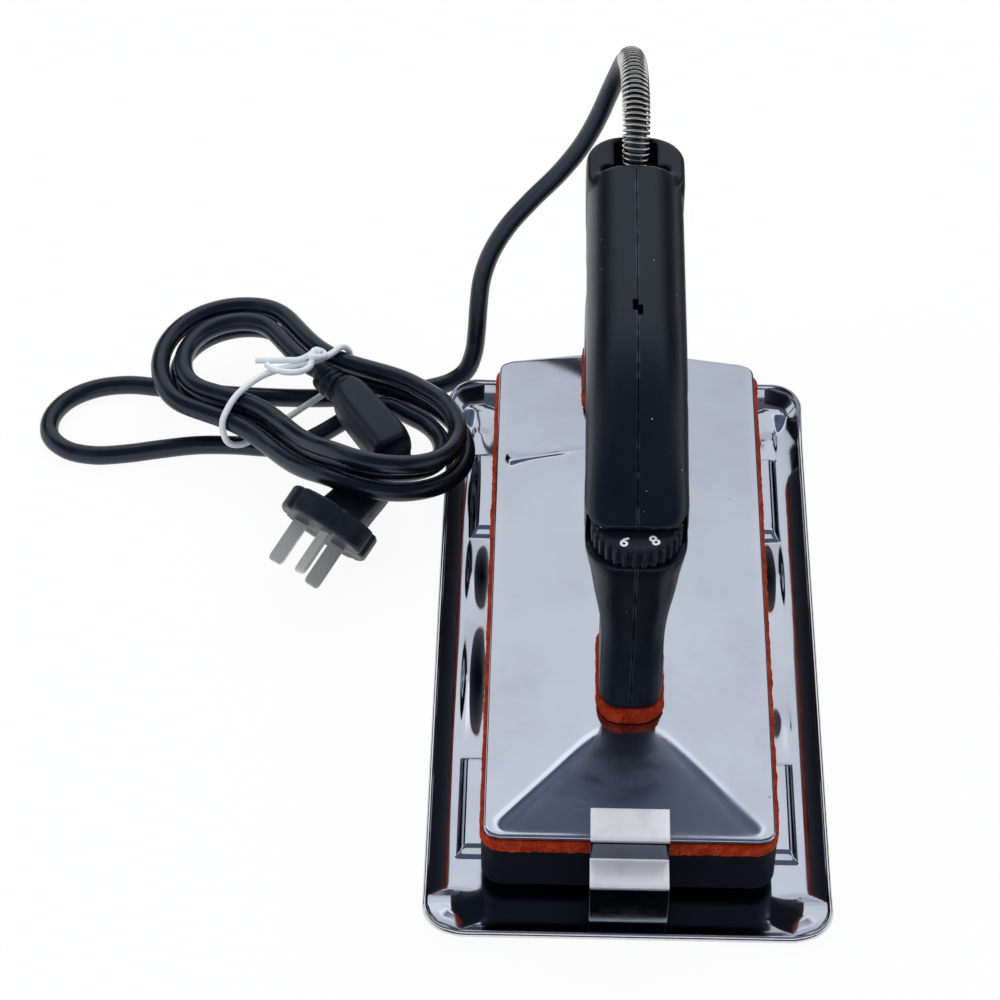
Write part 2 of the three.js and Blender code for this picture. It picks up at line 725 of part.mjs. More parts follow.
let handle = join(gripBar, neck, leg, collar);
handle = cut(handle,
  box(-handleWidth, back(neckFront - 2 * dialClearance), gripUnder, handleWidth, dialY, slotTop),
  post(0, dialY, slotRadius, gripUnder, slotTop, 32),
  post(0, dialY, spindleBore, footBase - overrun, gripUnder + overrun, 16),
  box(-pocketHalf, dialY - pocketHalf, gripUnder - clipPocketDrop,
    pocketHalf, dialY + pocketHalf, gripUnder - clipPocketDrop + clipPocketHeight),
  post(0, frontStudY, studRadius + seat, footBase - overrun, footBase + footFloor + overrun, 16),
  box(-pocketHalf, frontStudY - pocketHalf, footBase + footFloor,
    pocketHalf, frontStudY + pocketHalf, footBase + footFloor + pocketHeight),
  post(0, rearStudY, studRadius + seat, footBase - overrun, footBase + footFloor + overrun, 16),
  box(-pocketHalf, rearStudY - pocketHalf, footBase + footFloor,
    pocketHalf, rearStudY + pocketHalf, footBase + footFloor + pocketHeight),
  post(0, ductY, ductRadius, footBase - overrun, footBase + footFloor + overrun, 16),
  block(cavityHalf, back(cavityFront), back(cavityRear), footBase + footFloor, footBase + cavityTop, legCorner / 2),
  block(cavityHalf + padProud, back(gripEnd + dialClearance), back(collarRear - collarBackWall),
    collarTop - collarDepth, collarTop + overrun, collarCorner - collarWall),
  box(-collarNotch / 2, back(collarRear - 2 * collarBackWall), collarTop - collarDepth + padProud,
    collarNotch / 2, back(collarRear - collarSkin), collarTop + overrun),
  cordBore(cordRadius + seat, -cordBoreLength / 2, cordBoreLength / 2),
  cordBore(springOutside, -springSeatDrop, cordBoreLength / 2),
  box(-gripPocketHalf, back(gripPocketFront), gripUnder + gripPocketWall,
    gripPocketHalf, back(gripPocketRear), gripTop - gripPocketWall),
  box(-latchWidth, back(gripLevel - latchLength / 2 + latchStagger), gripTop - latchDepth,
    0, back(gripLevel + latchLength / 2 + latchStagger), gripTop + overrun),
  box(0, back(gripLevel - latchLength / 2 - latchStagger), gripTop - latchDepth,
    latchWidth, back(gripLevel + latchLength / 2 - latchStagger), gripTop + overrun),
);
for (const [distance, height] of handleScrews) {
  handle = cut(handle,
    crossPost(back(distance), footBase + height, screwRadius + seat, -screwReach - seat, screwHeadPlace + overrun),
    crossPost(back(distance), footBase + height, screwHeadRadius + seat, screwHeadPlace, handleWidth));
}
for (const side of [-1, 1]) {
  const hole = new THREE.CylinderGeometry(screwRadius + seat, screwRadius + seat, clampScrewDepth + overrun, 12);
  const middleY = back(cavityFront) - (clampScrewDepth - overrun) / 2 + overrun / 2;
  handle = cut(handle, hole.translate(side * clampScrewSpacing / 2, middleY, clampLevel));
}
const halfSpace = (sign) => box(
  sign > 0 ? seamGap / 2 : -handleWidth, back(0), footBase - overrun,
  sign > 0 ? handleWidth : -seamGap / 2, back(collarRear) + handleWidth, gripTop + overrun);
piece('handle_left', handle.intersect(toSolid(halfSpace(-1))), blackPlastic);
piece('handle_right', handle.intersect(toSolid(halfSpace(1))), blackPlastic);

handleScrews.forEach(([distance, height], i) => {
  const [y, z] = [back(distance), footBase + height];
  const shank = crossPost(y, z, screwRadius, -screwReach, screwHeadPlace + 2 * seat, 10);
  const headFloor = screwHeadPlace + seat;
  const head = crossPost(y, z, screwHeadRadius, headFloor, headFloor + screwHeadHeight, 14);
  piece(`handle_screw_${i + 1}`, join(shank, head), zincSteel);
});

// The studs and their captive nuts
const studRoot = 10;
const nutBase = footBase + footFloor + seat;
const studTop = nutBase + nutHeight + overrun;
for (const [name, y] of [['front_stud', frontStudY], ['rear_stud', rearStudY]]) {
  piece(name, post(0, y, studRadius, soleTop - studRoot, studTop, 16), zincSteel);
  const nut = toSolid(post(0, y, nutAcross / Math.sqrt(3), nutBase, nutBase + nutHeight, 6));
  piece(`${name}_nut`, cut(nut, post(0, y, studRadius + seat, nutBase - overrun, studTop)), zincSteel);
}

// The dial: a toothed thumbwheel on the spindle, with a spring clip under it
const dialShape = new THREE.Shape(Array.from({ length: 4 * dialTeeth }, (_, i) => {
  const tooth = Math.floor(i / 4);
  const stepShares = [0, 0.2, 0.5, 0.7];
  const angle = (tooth + stepShares[i % 4]) / dialTeeth * 2 * Math.PI;
  const radius = i % 4 === 1 || i % 4 === 2 ? dialRadius : dialRadius - dialTooth;
  return new THREE.Vector2(radius * Math.cos(angle), radius * Math.sin(angle));
}));
const dialHole = new THREE.Path().absarc(0, 0, spindleRadius + seat, 0, 2 * Math.PI);
dialShape.holes.push(dialHole);
const dialGeometry = new THREE.ExtrudeGeometry(
  dialShape,
  { depth: dialThickness, bevelEnabled: false, curveSegments: 8 },
);
piece('dial', dialGeometry.translate(0, dialY, dialBase), blackPlastic);

const spindleTop = dialBase + dialThickness - 2 * seat;
piece('dial_spindle', post(0, dialY, spindleRadius, turretTop + seat, spindleTop, 16), zincSteel);

const clipRingRadius = 5;
const clipRingThickness = 1.2;
const clipRingOpening = Math.PI / 3;
const clipRing = new THREE.Shape();
clipRing.absarc(0, 0, clipRingRadius, clipRingOpening / 2, 2 * Math.PI - clipRingOpening / 2, false);
clipRing.absarc(0, 0, spindleRadius + seat, 2 * Math.PI - clipRingOpening / 2, clipRingOpening / 2, true);
const clipRingGeometry = new THREE.ExtrudeGeometry(clipRing,
  { depth: clipRingThickness, bevelEnabled: false, curveSegments: 12 });
const clipRingLevel = gripUnder - clipPocketDrop + clipPocketHeight - seat - clipRingThickness;
piece('spindle_clip', clipRingGeometry.translate(0, dialY, clipRingLevel), zincSteel);

// The terminal block, the cord's clamp and the three wires down to the hot end
const terminalHalf = 11;
const terminalRoom = 2.5;
const terminalDepth = 13;
const terminalFront = cavityFront + terminalRoom;
const terminalRear = terminalFront + terminalDepth;
const terminalDrop = 32.5;
const terminalBase = clampLevel - terminalDrop;
const terminalHeight = 15;
const terminalPitch = 7;
const terminalBore = 1.8;
const terminalY = back((terminalFront + terminalRear) / 2);
let terminal = toSolid(box(-terminalHalf, back(terminalFront), terminalBase,
  terminalHalf, back(terminalRear), terminalBase + terminalHeight));
for (const place of [-1, 0, 1]) {
  const x = place * terminalPitch;
  const boreTop = terminalBase + terminalHeight + overrun;
  terminal = cut(terminal, post(x, terminalY, terminalBore, terminalBase - overrun, boreTop, 10));
}
for (const edge of [-1, 1]) {
  const x = edge * terminalPitch / 2;
  terminal = cut(terminal, box(x - 2 * seat, back(terminalFront) - overrun, terminalBase + terminalHeight * 2 / 3,
    x + 2 * seat, back(terminalRear) + overrun, terminalBase + terminalHeight + overrun));
}
piece('terminal_block', terminal, ceramic);

const clampHalf = 10.5;
const clampHeight = 5;
const clampThickness = 6;
const cordAtClamp = cordMouth.clone().addScaledVector(cordOut, (clampLevel - cordMouth.z) / cordOut.z);
const clampFront = cordAtClamp.y + seat;
let clamp = toSolid(box(-clampHalf, clampFront, clampLevel - clampHeight / 2,
  clampHalf, clampFront + clampThickness, clampLevel + clampHeight / 2));
clamp = cut(clamp, cordBore(cordRadius + seat, -cordBoreLength, 0));
for (const side of [-1, 1]) {
  const hole = new THREE.CylinderGeometry(screwRadius + seat, screwRadius + seat, 2 * handleWidth, 12);
  clamp = cut(clamp, hole.translate(side * clampScrewSpacing / 2, clampFront, clampLevel));
}
piece('cord_clamp', clamp, zincSteel);

for (const [name, side] of [['clamp_screw_left', -1], ['clamp_screw_right', 1]]) {
  const headFrom = clampFront + clampThickness + seat;
  const tip = back(cavityFront) - clampScrewDepth + seat + overrun;
  const shank = new THREE.CylinderGeometry(screwRadius, screwRadius, headFrom + seat - tip, 10);
  shank.translate(side * clampScrewSpacing / 2, (headFrom + seat + tip) / 2, clampLevel);
  const head = new THREE.CylinderGeometry(screwHeadRadius, screwHeadRadius, screwHeadHeight, 10);
  head.translate(side * clampScrewSpacing / 2, headFrom + screwHeadHeight / 2, clampLevel);
  piece(name, join(shank, head), zincSteel);
}

const wireRadius = 1.2;
const wirePitch = 2 * wireRadius + seat;
const wireSpread = 3;
const wireBend = 6;
const cordEndLevel = clampLevel - clampHeight / 2;
const jacketEnd = cordMouth.clone().addScaledVector(cordOut, (cordEndLevel - cordMouth.z) / cordOut.z);
const wireLow = hoodBase + wireRadius;
const wires = [
  ['live_wire', -1, new THREE.Vector3(-turretRadius - 2 * wireRadius, dialY + thermostatLength / 2, thermostatTop)],
  ['neutral_wire', 1, new THREE.Vector3(elementSpread, back(elementRear) + 2 * wireRadius, elementLevel)],
  ['earth_wire', 0, new THREE.Vector3(0, rearStudY - spacerRadius - 3 * wireRadius, soleInside + 2 * wireRadius)],
];
for (const [name, side, target] of wires) {
  const x = side * terminalPitch;
  const duct = side * wireSpread;
  const points = [
    jacketEnd.clone().addScaledVector(cordOut, -seat).setX(side * wirePitch),
    jacketEnd.clone().addScaledVector(cordOut, -wireBend / 2).setX(side * wirePitch),
    new THREE.Vector3(x, terminalY, terminalBase + terminalHeight + wireBend / 2),
    new THREE.Vector3(x, terminalY, terminalBase + terminalHeight / 2),
    new THREE.Vector3(x, terminalY, terminalBase - wireRadius),
    new THREE.Vector3(duct, ductY, footBase + footFloor + wireBend),
    new THREE.Vector3(duct, ductY, footBase),
    new THREE.Vector3(duct, ductY, hoodTop),
    new THREE.Vector3(duct, ductY - seat, hoodTop - wireBend / 2),
  ];
  if (name === 'live_wire') {
    points.push(new THREE.Vector3(2 * target.x, rearStudY, wireLow));
    points.push(new THREE.Vector3(2 * target.x, back(bridgePlace), wireLow));
    points.push(new THREE.Vector3(target.x, dialY + 2 * wireBend, wireLow));
    points.push(new THREE.Vector3(target.x, dialY, thermostatTop + wireBend));
    points.push(new THREE.Vector3(target.x, dialY, thermostatTop + seat));
  } else if (name === 'neutral_wire') {
    points.push(new THREE.Vector3(target.x / 2, rearStudY + wireBend, wireLow));
    points.push(new THREE.Vector3(target.x, target.y + 2 * wireBend, target.z + wireBend));
    points.push(new THREE.Vector3(target.x, target.y + wireRadius, target.z));
    points.push(new THREE.Vector3(target.x, back(elementRear) + seat, target.z));
  } else {
    points.push(new THREE.Vector3(duct, ductY, soleTop));
    points.push(new THREE.Vector3(duct, ductY, soleInside + seat));
  }
  const route = new THREE.CatmullRomCurve3(points, false, 'centripetal');
  piece(name, tube(route, wireRadius, 6, 26), finish(wireColours[name.split('_')[0]], 0.5, 0));
}

// The hank: folded loops of cord in two layers, drawn in at the tie and lifted where they cross the plug
const hankMiddle = new THREE.Vector3(-123.5, 109, 0);
const hankHeading = -35.4 / 180 * Math.PI;
const hankAlong = new THREE.Vector3(Math.cos(hankHeading), Math.sin(hankHeading), 0);
const hankAcross = new THREE.Vector3(Math.sin(hankHeading), -Math.cos(hankHeading), 0);
const tieRoom = tieThickness + 2 * seat;
const hankLevel = cordDiameter + tieRoom + seat + cordRadius;
const hankPileGap = 1.2;
const hankLayer = cordDiameter + hankPileGap;
const hankStart = 30;
const hankEnd = -8.5;
const hankLaps = 3;
const tiePlace = -11;
const waistReach = 40;
const plugLift = 12.6;
const plugLiftPlace = 45;
const plugLiftReach = 50;
const plugLiftBack = -24;
const plugLiftFront = 20;
const middleTurnShare = 0.6;
const climbShare = 0.25;
const hankTurnRadius = hankInner + hankStep * middleTurnShare;
const hankLap = 4 * hankHalfRun + 2 * Math.PI * hankTurnRadius;

/** A place given along and across the hank and above the floor. */
function fold(along, across, height) {
  const place = hankMiddle.clone().addScaledVector(hankAlong, along).addScaledVector(hankAcross, across);
  return place.setZ(height);
}

const bump = (value, reach) => (Math.abs(value) < reach ? (1 + Math.cos(Math.PI * value / reach)) / 2 : 0);

/** The cord's centre in the hank after a run of cord from its start. */
function hankPoint(run, whole) {
  const laps = run / hankLap;
  const allLaps = whole / hankLap;
  const radius = hankInner + hankStep * Math.min(laps, allLaps - laps);
  const layer = blend(laps, allLaps / 2 - climbShare, allLaps / 2 + climbShare);
  const turnLength = Math.PI * hankTurnRadius;
  const place = (run + hankHalfRun + hankStart) % hankLap;
  let along;
  let across;
  if (place < 2 * hankHalfRun) {
    along = place - hankHalfRun;
    across = -radius;
  } else if (place < 2 * hankHalfRun + turnLength) {
    const angle = (place - 2 * hankHalfRun) / hankTurnRadius - Math.PI / 2;
    along = hankHalfRun + radius * Math.cos(angle);
    across = radius * Math.sin(angle);
  } else if (place < 4 * hankHalfRun + turnLength) {
    along = 3 * hankHalfRun + turnLength - place;
    across = radius;
  } else {
    const angle = (place - 4 * hankHalfRun - turnLength) / hankTurnRadius + Math.PI / 2;
    along = -hankHalfRun + radius * Math.cos(angle);
    across = radius * Math.sin(angle);
  }
  const drawnIn = across * (1 - hankWaist / radius * bump(along - tiePlace, waistReach));
  const lift = plugLift * bump(along - plugLiftPlace, plugLiftReach) * blend(across, plugLiftBack, plugLiftFront);
  return fold(along, drawnIn, hankLevel + hankLayer * layer + lift);
}

const hankRun = hankLaps * hankLap - (hankStart - hankEnd);
const hankSteps = Math.ceil(24 * hankRun / hankLap);
const hankMouth = hankPoint(0, hankRun);
const hankTail = hankPoint(hankRun, hankRun);
const hankBody = Array.from(
  { length: hankSteps - 1 },
  (_, i) => hankPoint(hankRun * (i + 1) / hankSteps, hankRun),
);
const hankCentres = [
  hankMouth.clone().addScaledVector(hankAlong, seat),
  hankMouth.clone().addScaledVector(hankAlong, cordDiameter),
  ...hankBody,
  hankTail.clone().addScaledVector(hankAlong, -cordDiameter),
  hankTail,
];
const upright = new THREE.Vector3(0, 0, 1);
piece('cord_hank', woundTube(hankCentres, hankCentres.map(() => upright), cordRadius, 6), blackRubber);

const hankFine = Array.from(
  { length: 8 * hankSteps + 1 },
  (_, i) => hankPoint(hankRun * i / (8 * hankSteps), hankRun),
);
console.log('hank: least gap', leastGap(hankFine, cordRadius, 6 * cordDiameter).toFixed(2));

// The free stretch of cord: out of the handle, over, down behind the tray and round a floor loop to the hank
const tailRoute = [
  [0, 111.5, 142], [0, 115, 148.7], [0, 120.3, 154.5], [-0.3, 129.3, 159.7], [-0.8, 139.6, 161.5],
  [-1.5, 149.8, 159.7], [-2.6, 158.8, 154.5], [-4, 164.1, 148.7], [-6, 167.6, 140.5], [-9.3, 169.8, 129],
  [-13.5, 170.3, 116], [-19.5, 169.5, 103], [-28, 168, 90.5], [-38.5, 166, 78.5], [-48, 163, 67],
  [-54.5, 159.5, 56], [-58, 156, 45.5], [-59.3, 152, 35], [-60, 148, 24.5], [-61.3, 144.6, 14.8],
  [-64.5, 141.8, 7.6], [-70.5, 139, 4.3], [-79, 135.6, 3.9], [-92, 132, 3.9], [-110, 129.5, 3.9],
  [-130, 128.5, 3.9], [-150, 129, 3.9], [-170, 130.5, 3.9], [-187, 133, 3.9], [-201, 134.5, 3.9],
  [-214, 132, 3.9], [-224.5, 125, 3.9], [-230, 114.5, 3.9], [-229, 104, 3.9], [-221.5, 96.5, 3.9],
  [-210.5, 93.8, 3.9], [-198, 95, 3.9], [-184, 98, 3.9], [-170, 100.5, 3.9], [-155, 100.8, 3.9],
  [-140, 99.9, 3.9], [-130, 101.4, 4.4], [-121, 105.6, 6.2], [-112.5, 110.6, 8.6], [-104, 113.9, 11.2],
  [-97, 114.9, 13.6],
];
const tailPath = new THREE.CatmullRomCurve3([
  jacketEnd,
  jacketEnd.clone().lerp(cordMouth, 0.5),
  cordMouth,
  ...tailRoute.map((place) => new THREE.Vector3(...place)),
  hankMouth.clone().addScaledVector(hankAlong, -cordDiameter),
  hankMouth,
], false, 'centripetal');
const tailSteps = 80;
piece('cord_tail', tube(tailPath, cordRadius, 8, tailSteps), blackRubber);
console.log('cord: tail', tailPath.getLength().toFixed(0), 'hank', hankRun.toFixed(0));

// The spring guard: a coil of bright wire round the cord from its seat in the collar
const tailLength = tailPath.getLength();
const springFrom = jacketEnd.distanceTo(cordMouth) - springSeatDrop + springWire;
const springLength = springTurns * springPitch;

const springStep = 8;
const springCentres = [];
const springOutwards = [];
for (let i = 0; i <= springTurns * springStep; i += 1) {
  const distance = springFrom + springLength * i / (springTurns * springStep);
  const along = tailPath.getTangentAt(distance / tailLength);
  const across = new THREE.Vector3(1, 0, 0).addScaledVector(along, -along.x).normalize();
  const above = along.clone().cross(across);
  const angle = i / springStep * 2 * Math.PI;
  const outward = across.multiplyScalar(Math.cos(angle)).addScaledVector(above, Math.sin(angle));
  springCentres.push(tailPath.getPointAt(distance / tailLength).addScaledVector(outward, springRadius));
  springOutwards.push(outward);
}
piece('spring_guard', woundTube(springCentres, springOutwards, springWire / 2, 5), brightSteel);
console.log('spring: least gap', leastGap(springCentres, springWire / 2, 3 * springWire).toFixed(2));

// The tie: one white twist round the waist with its two ends crossed over the top
const tieRadius = tieThickness / 2;
const waistFront = hankInner + hankStep * hankRun / hankLap / 2 - hankWaist + cordRadius + seat + tieRadius;
const waistBack = waistFront - hankStep / 3;
const tieLow = hankLevel - cordRadius - seat - tieRadius;
const tieHigh = hankLevel + hankLayer + cordRadius + seat + tieRadius;
const tieCorner = 5;
const tieMiddle = (tieLow + tieHigh) / 2;
const tiePath = new THREE.CatmullRomCurve3([
  fold(tiePlace - 4 * tieCorner, tieCorner, tieHigh + 2 * tieThickness),
  fold(tiePlace - 2 * tieCorner, -tieThickness, tieHigh + tieThickness),
  fold(tiePlace - tieThickness / 2, -2 * tieCorner, tieHigh + tieRadius / 2),
  fold(tiePlace, -waistBack + tieCorner / 2, tieHigh - tieRadius / 2),
  fold(tiePlace, -waistBack, tieMiddle),
  fold(tiePlace, -waistBack + tieCorner / 2, tieLow + tieRadius / 2),
  fold(tiePlace, -waistBack + 2 * tieCorner, tieLow),
  fold(tiePlace, waistFront - 2 * tieCorner, tieLow),
  fold(tiePlace, waistFront - tieCorner / 2, tieLow + tieRadius / 2),
  fold(tiePlace, waistFront, tieMiddle),
  fold(tiePlace, waistFront - tieCorner / 2, tieHigh - tieRadius / 2),
  fold(tiePlace, waistFront - 2 * tieCorner, tieHigh),
  fold(tiePlace, tieCorner, tieHigh + tieRadius),
  fold(tiePlace, -tieThickness, tieHigh + 2 * tieThickness),
  fold(tiePlace + tieThickness, -2 * tieCorner, tieHigh + 2 * tieThickness),
  fold(tiePlace + 2 * tieCorner, -2 * tieCorner, tieHigh + 2 * tieThickness),
], false, 'centripetal');
piece('cord_tie', tube(tiePath, tieRadius, 6, 64), whiteTie);

// The plug: a ribbed relief, a grip lying inside the hank, a neck under the front runs and a round flange
const reliefRadius = 4.9;
const reliefRib = 6.3;
const reliefRings = 12;
const reliefSides = 10;
const ribCount = 3;
const plugLevel = hankLevel + hankLayer;
const plugGripFrom = 7;
const plugGripLength = 37;
const plugGripAcross = -10.4;
const plugGripDrift = 15.2;
const plugGripWidth = 18.4;
const plugGripHeight = 14;
const plugGripCorner = 4;
const plugHeading = 22 / 180 * Math.PI;
const plugNeckPlace = 44;
const plugNeckReach = 45;
const plugNeckWidth = 22;
const plugNeckHeight = 14.6;

const reliefFrom = hankTail.clone().addScaledVector(hankAlong, seat);
const reliefTo = fold(plugGripFrom - seat, plugGripAcross, plugLevel);
const reliefPath = new THREE.CatmullRomCurve3([
  reliefFrom,
  reliefFrom.clone().addScaledVector(hankAlong, reliefRadius),
  reliefTo.clone().addScaledVector(hankAlong, -reliefRadius),
  reliefTo,
], false, 'centripetal');
const reliefSkin = Array.from({ length: reliefRings + 1 }, (_, i) => {
  const centre = reliefPath.getPoint(i / reliefRings);
  const fromPlug = reliefRings - i;
  const onRib = fromPlug < 2 * ribCount && fromPlug % 2 === 1;
  const growth = (reliefRib - reliefRadius) * i / reliefRings;
  const radius = reliefRadius + (onRib ? growth : growth / 2);
  return Array.from({ length: reliefSides }, (_side, k) => {
    const angle = k / reliefSides * 2 * Math.PI;
    const sideways = centre.clone().addScaledVector(hankAcross, radius * Math.cos(angle));
    return sideways.addScaledVector(upright, radius * Math.sin(angle));
  });
});
piece('plug_relief', loft(reliefSkin), blackRubber);

/** A ring with round corners about a centre, spread along a level direction and upwards. */
function plugRing(centre, sideways, halfWidth, halfHeight) {
  const outline = roundedOutline(halfWidth, halfHeight, plugGripCorner, 3);
  return outline.map(([u, v]) => centre.clone().addScaledVector(sideways, u).addScaledVector(upright, v));
}

const plugGripShares = [
  [0, 0, 0, 0.67, 0.83],
  [0.14, 0.1, 0.6, 0.85, 0.94],
  [0.35, 0.32, 1, 0.93, 0.97],
  [0.88, 0.83, 1, 1, 1],
  [1, 1, 1, 0.91, 0.89],
];
const plugGrip = loft(plugGripShares.map(([lengthShare, driftShare, turnShare, widthShare, heightShare]) => {
  const along = plugGripFrom + plugGripLength * lengthShare;
  const centre = fold(along, plugGripAcross + plugGripDrift * driftShare, plugLevel);
  const sideways = hankAcross.clone().applyAxisAngle(upright, -plugHeading * turnShare);
  return plugRing(centre, sideways, plugGripWidth / 2 * widthShare, plugGripHeight / 2 * heightShare);
}));

const plugNeckShares = [
  [0, 0.98, 0.96, 0.55, 0.68],
  [0.22, 0.98, 0.79, 0.64, 0.79],
  [0.38, 0.99, 0.69, 0.82, 0.77],
  [0.76, 1.02, 0.68, 0.91, 0.82],
  [1, 1.05, 0.71, 1, 1],
];
const plugNeck = loft(plugNeckShares.map(([reachShare, placeShare, levelShare, widthShare, heightShare]) => plugRing(
  fold(plugNeckPlace * placeShare, plugNeckReach * reachShare, plugLevel * levelShare),
  hankAlong, plugNeckWidth / 2 * widthShare, plugNeckHeight / 2 * heightShare)));

const flangeAlong = 46.5;
const flangeAcross = 47.5;
const flangeLevel = 20;
const flangePlace = fold(flangeAlong, flangeAcross, flangeLevel);
const flangeTilt = 25.5 / 180 * Math.PI;
const flangeOut = hankAcross.clone().multiplyScalar(Math.cos(flangeTilt));
flangeOut.addScaledVector(upright, -Math.sin(flangeTilt));
const flangeFrame = new THREE.Matrix4().makeBasis(hankAlong, flangeOut.clone().cross(hankAlong), flangeOut);
flangeFrame.setPosition(flangePlace);

const notchDepth = 1.4;
const notchCount = 6;
const flangeSides = 36;
const flangeShape = new THREE.Shape(Array.from({ length: flangeSides }, (_, i) => {
  const angle = (i + 0.5) / flangeSides * 2 * Math.PI;
  const radius = i % (flangeSides / notchCount) === 0 ? plugRadius - notchDepth : plugRadius;
  return new THREE.Vector2(radius * Math.cos(angle), radius * Math.sin(angle));
}));
const flange = new THREE.ExtrudeGeometry(flangeShape, { depth: plugFlange, bevelEnabled: false });
flange.translate(0, 0, -plugFlange / 2).applyMatrix4(flangeFrame);
piece('plug_body', join(plugGrip, plugNeck, flange), blackRubber);

const earthPinPlace = -10.3;
const linePinPlace = 4.5;
const linePinSpacing = 13.8;
const linePinTurn = Math.PI / 6;
const pins = [
  ['plug_pin_earth', earthPinPlace, 0, 0],
  ['plug_pin_live', linePinPlace, -linePinSpacing / 2, -linePinTurn],
  ['plug_pin_neutral', linePinPlace, linePinSpacing / 2, linePinTurn],
];
for (const [name, u, v, turned] of pins) {
  const pin = new THREE.BoxGeometry(pinWidth, pinThickness, pinLength);
  pin.rotateZ(turned).translate(u, v, plugFlange / 2 + seat + pinLength / 2);
  piece(name, pin.applyMatrix4(flangeFrame), zincSteel);
}

export default assembly;
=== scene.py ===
import json
import math

import bmesh
import bpy
import numpy as np
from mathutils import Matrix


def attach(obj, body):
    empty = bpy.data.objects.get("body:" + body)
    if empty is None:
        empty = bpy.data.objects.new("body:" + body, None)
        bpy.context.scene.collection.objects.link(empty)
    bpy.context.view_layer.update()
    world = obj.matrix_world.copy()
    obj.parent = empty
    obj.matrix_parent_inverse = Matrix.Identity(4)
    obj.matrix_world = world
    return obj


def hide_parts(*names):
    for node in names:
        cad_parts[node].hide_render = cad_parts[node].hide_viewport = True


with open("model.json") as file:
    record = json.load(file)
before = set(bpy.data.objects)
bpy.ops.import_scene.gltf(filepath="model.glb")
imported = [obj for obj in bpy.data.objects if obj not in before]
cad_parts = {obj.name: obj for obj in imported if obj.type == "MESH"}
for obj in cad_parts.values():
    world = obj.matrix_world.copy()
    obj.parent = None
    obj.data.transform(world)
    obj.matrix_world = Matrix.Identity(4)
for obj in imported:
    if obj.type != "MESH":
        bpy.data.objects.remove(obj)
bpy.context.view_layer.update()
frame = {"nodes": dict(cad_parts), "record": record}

# The camera looks down on the iron from in front of its nose, a little to the left, with a long lens.
camera_data = bpy.data.cameras.new("camera")
camera_data.lens, camera_data.sensor_width = 108, 36
camera_data.clip_start, camera_data.clip_end = 0.05, 20
camera = bpy.data.objects.new("camera", camera_data)
camera.location = (-0.0288, -0.7443, 0.8455)
camera.rotation_euler = (math.radians(90 - 45.83), 0, math.radians(1.4))
bpy.context.scene.collection.objects.link(camera)
bpy.context.scene.camera = camera
bpy.context.scene.view_settings.view_transform = "Standard"


class Socket:
    """One output of a material's nodes. Sums of sockets and numbers add the Math nodes they need."""

    def __init__(self, tree, output):
        self.tree, self.output = tree, output

    def node(self, kind, settings=None, values=None, output=0):
        """Adds a node, sets its settings, then its sockets' values or links, and gives one output."""
        made = self.tree.nodes.new(kind)
        for name, value in (settings or {}).items():
            setattr(made, name, value)
        for name, value in (values or {}).items():
            if isinstance(value, Socket):
                self.tree.links.new(value.output, made.inputs[name])
            else:
                made.inputs[name].default_value = value
        return Socket(self.tree, made.outputs[output])

    def sibling(self, name):
        """Another output of the same node."""
        return Socket(self.tree, self.output.node.outputs[name])

    def maths(self, operation, *values):
        return self.node("ShaderNodeMath", {"operation": operation}, dict(enumerate(values)))

    def __add__(self, other):
        return self.maths("ADD", self, other)

    def __sub__(self, other):
        return self.maths("SUBTRACT", self, other)

    def __rsub__(self, other):
        return self.maths("SUBTRACT", other, self)

    def __mul__(self, other):
        return self.maths("MULTIPLY", self, other)

    def __truediv__(self, other):
        return self.maths("DIVIDE", self, other)

    __radd__ = __add__
    __rmul__ = __mul__

    def above(self, low, high):
        """0 below low, 1 above high, and a smooth step between them."""
        return self.node("ShaderNodeMapRange", {"interpolation_type": "SMOOTHSTEP"},
                         {"Value": self, "From Min": low, "From Max": high})

    def mix(self, first, second):
        """The first colour where this socket is 0 and the second where it is 1."""
        first, second = [colour if isinstance(colour, Socket) else (*colour, 1) for colour in (first, second)]
        return self.node("ShaderNodeMix", {"data_type": "RGBA"}, {0: self, 6: first, 7: second}, 2)


class Finish(Socket):
    """A new material. Its own output is the Object coordinates of the surface, in metres."""

    def __init__(self, name):
        self.material = bpy.data.materials.new(name)
        self.material.use_nodes = True
        self.tree = self.material.node_tree
        self.tree.nodes.clear()
        self.output = self.tree.nodes.new("ShaderNodeTexCoord").outputs["Object"]
        self.surface = self.tree.nodes.new("ShaderNodeOutputMaterial").inputs["Surface"]

    def place(self, axis):
        """One of the three coordinates."""
        return self.node("ShaderNodeSeparateXYZ", {}, {"Vector": self}, axis)

    def noise(self, size, detail=2, stretch=(1, 1, 1), rough=0.5):
        """Cloudy noise whose patches are about this size in metres, stretched along the axes."""
        place = self.node("ShaderNodeMapping", {}, {"Vector": self, "Scale": stretch})
        return self.node("ShaderNodeTexNoise", {},
                         {"Vector": place, "Scale": 1 / size, "Detail": detail, "Roughness": rough})

    def specks(self, size, share):
        """1 inside round specks about this far apart, each filling this share of its cell."""
        far = self.node("ShaderNodeTexVoronoi", {}, {"Vector": self, "Scale": 1 / size})
        return 1 - far.above(share * 0.5, share)

    def bump(self, height, distance):
        """A normal from a height that swells by this distance in metres."""
        return self.node("ShaderNodeBump", {}, {"Height": height, "Distance": distance})

    def ended(self, shader):
        """The finished material, whose surface is this shader."""
        self.tree.links.new(shader.output, self.surface)
        return self.material

    def shade(self, **values):
        """Ends in a Principled shader with these sockets, _ standing for a space."""
        sockets = {name.replace("_", " "): value for name, value in values.items()}
        return self.ended(self.node("ShaderNodeBsdfPrincipled", {}, sockets))

    def shine(self, colour):
        """Ends in an even light of this colour, which reflects nothing."""
        return self.ended(self.node("ShaderNodeEmission", {}, {"Color": colour}))


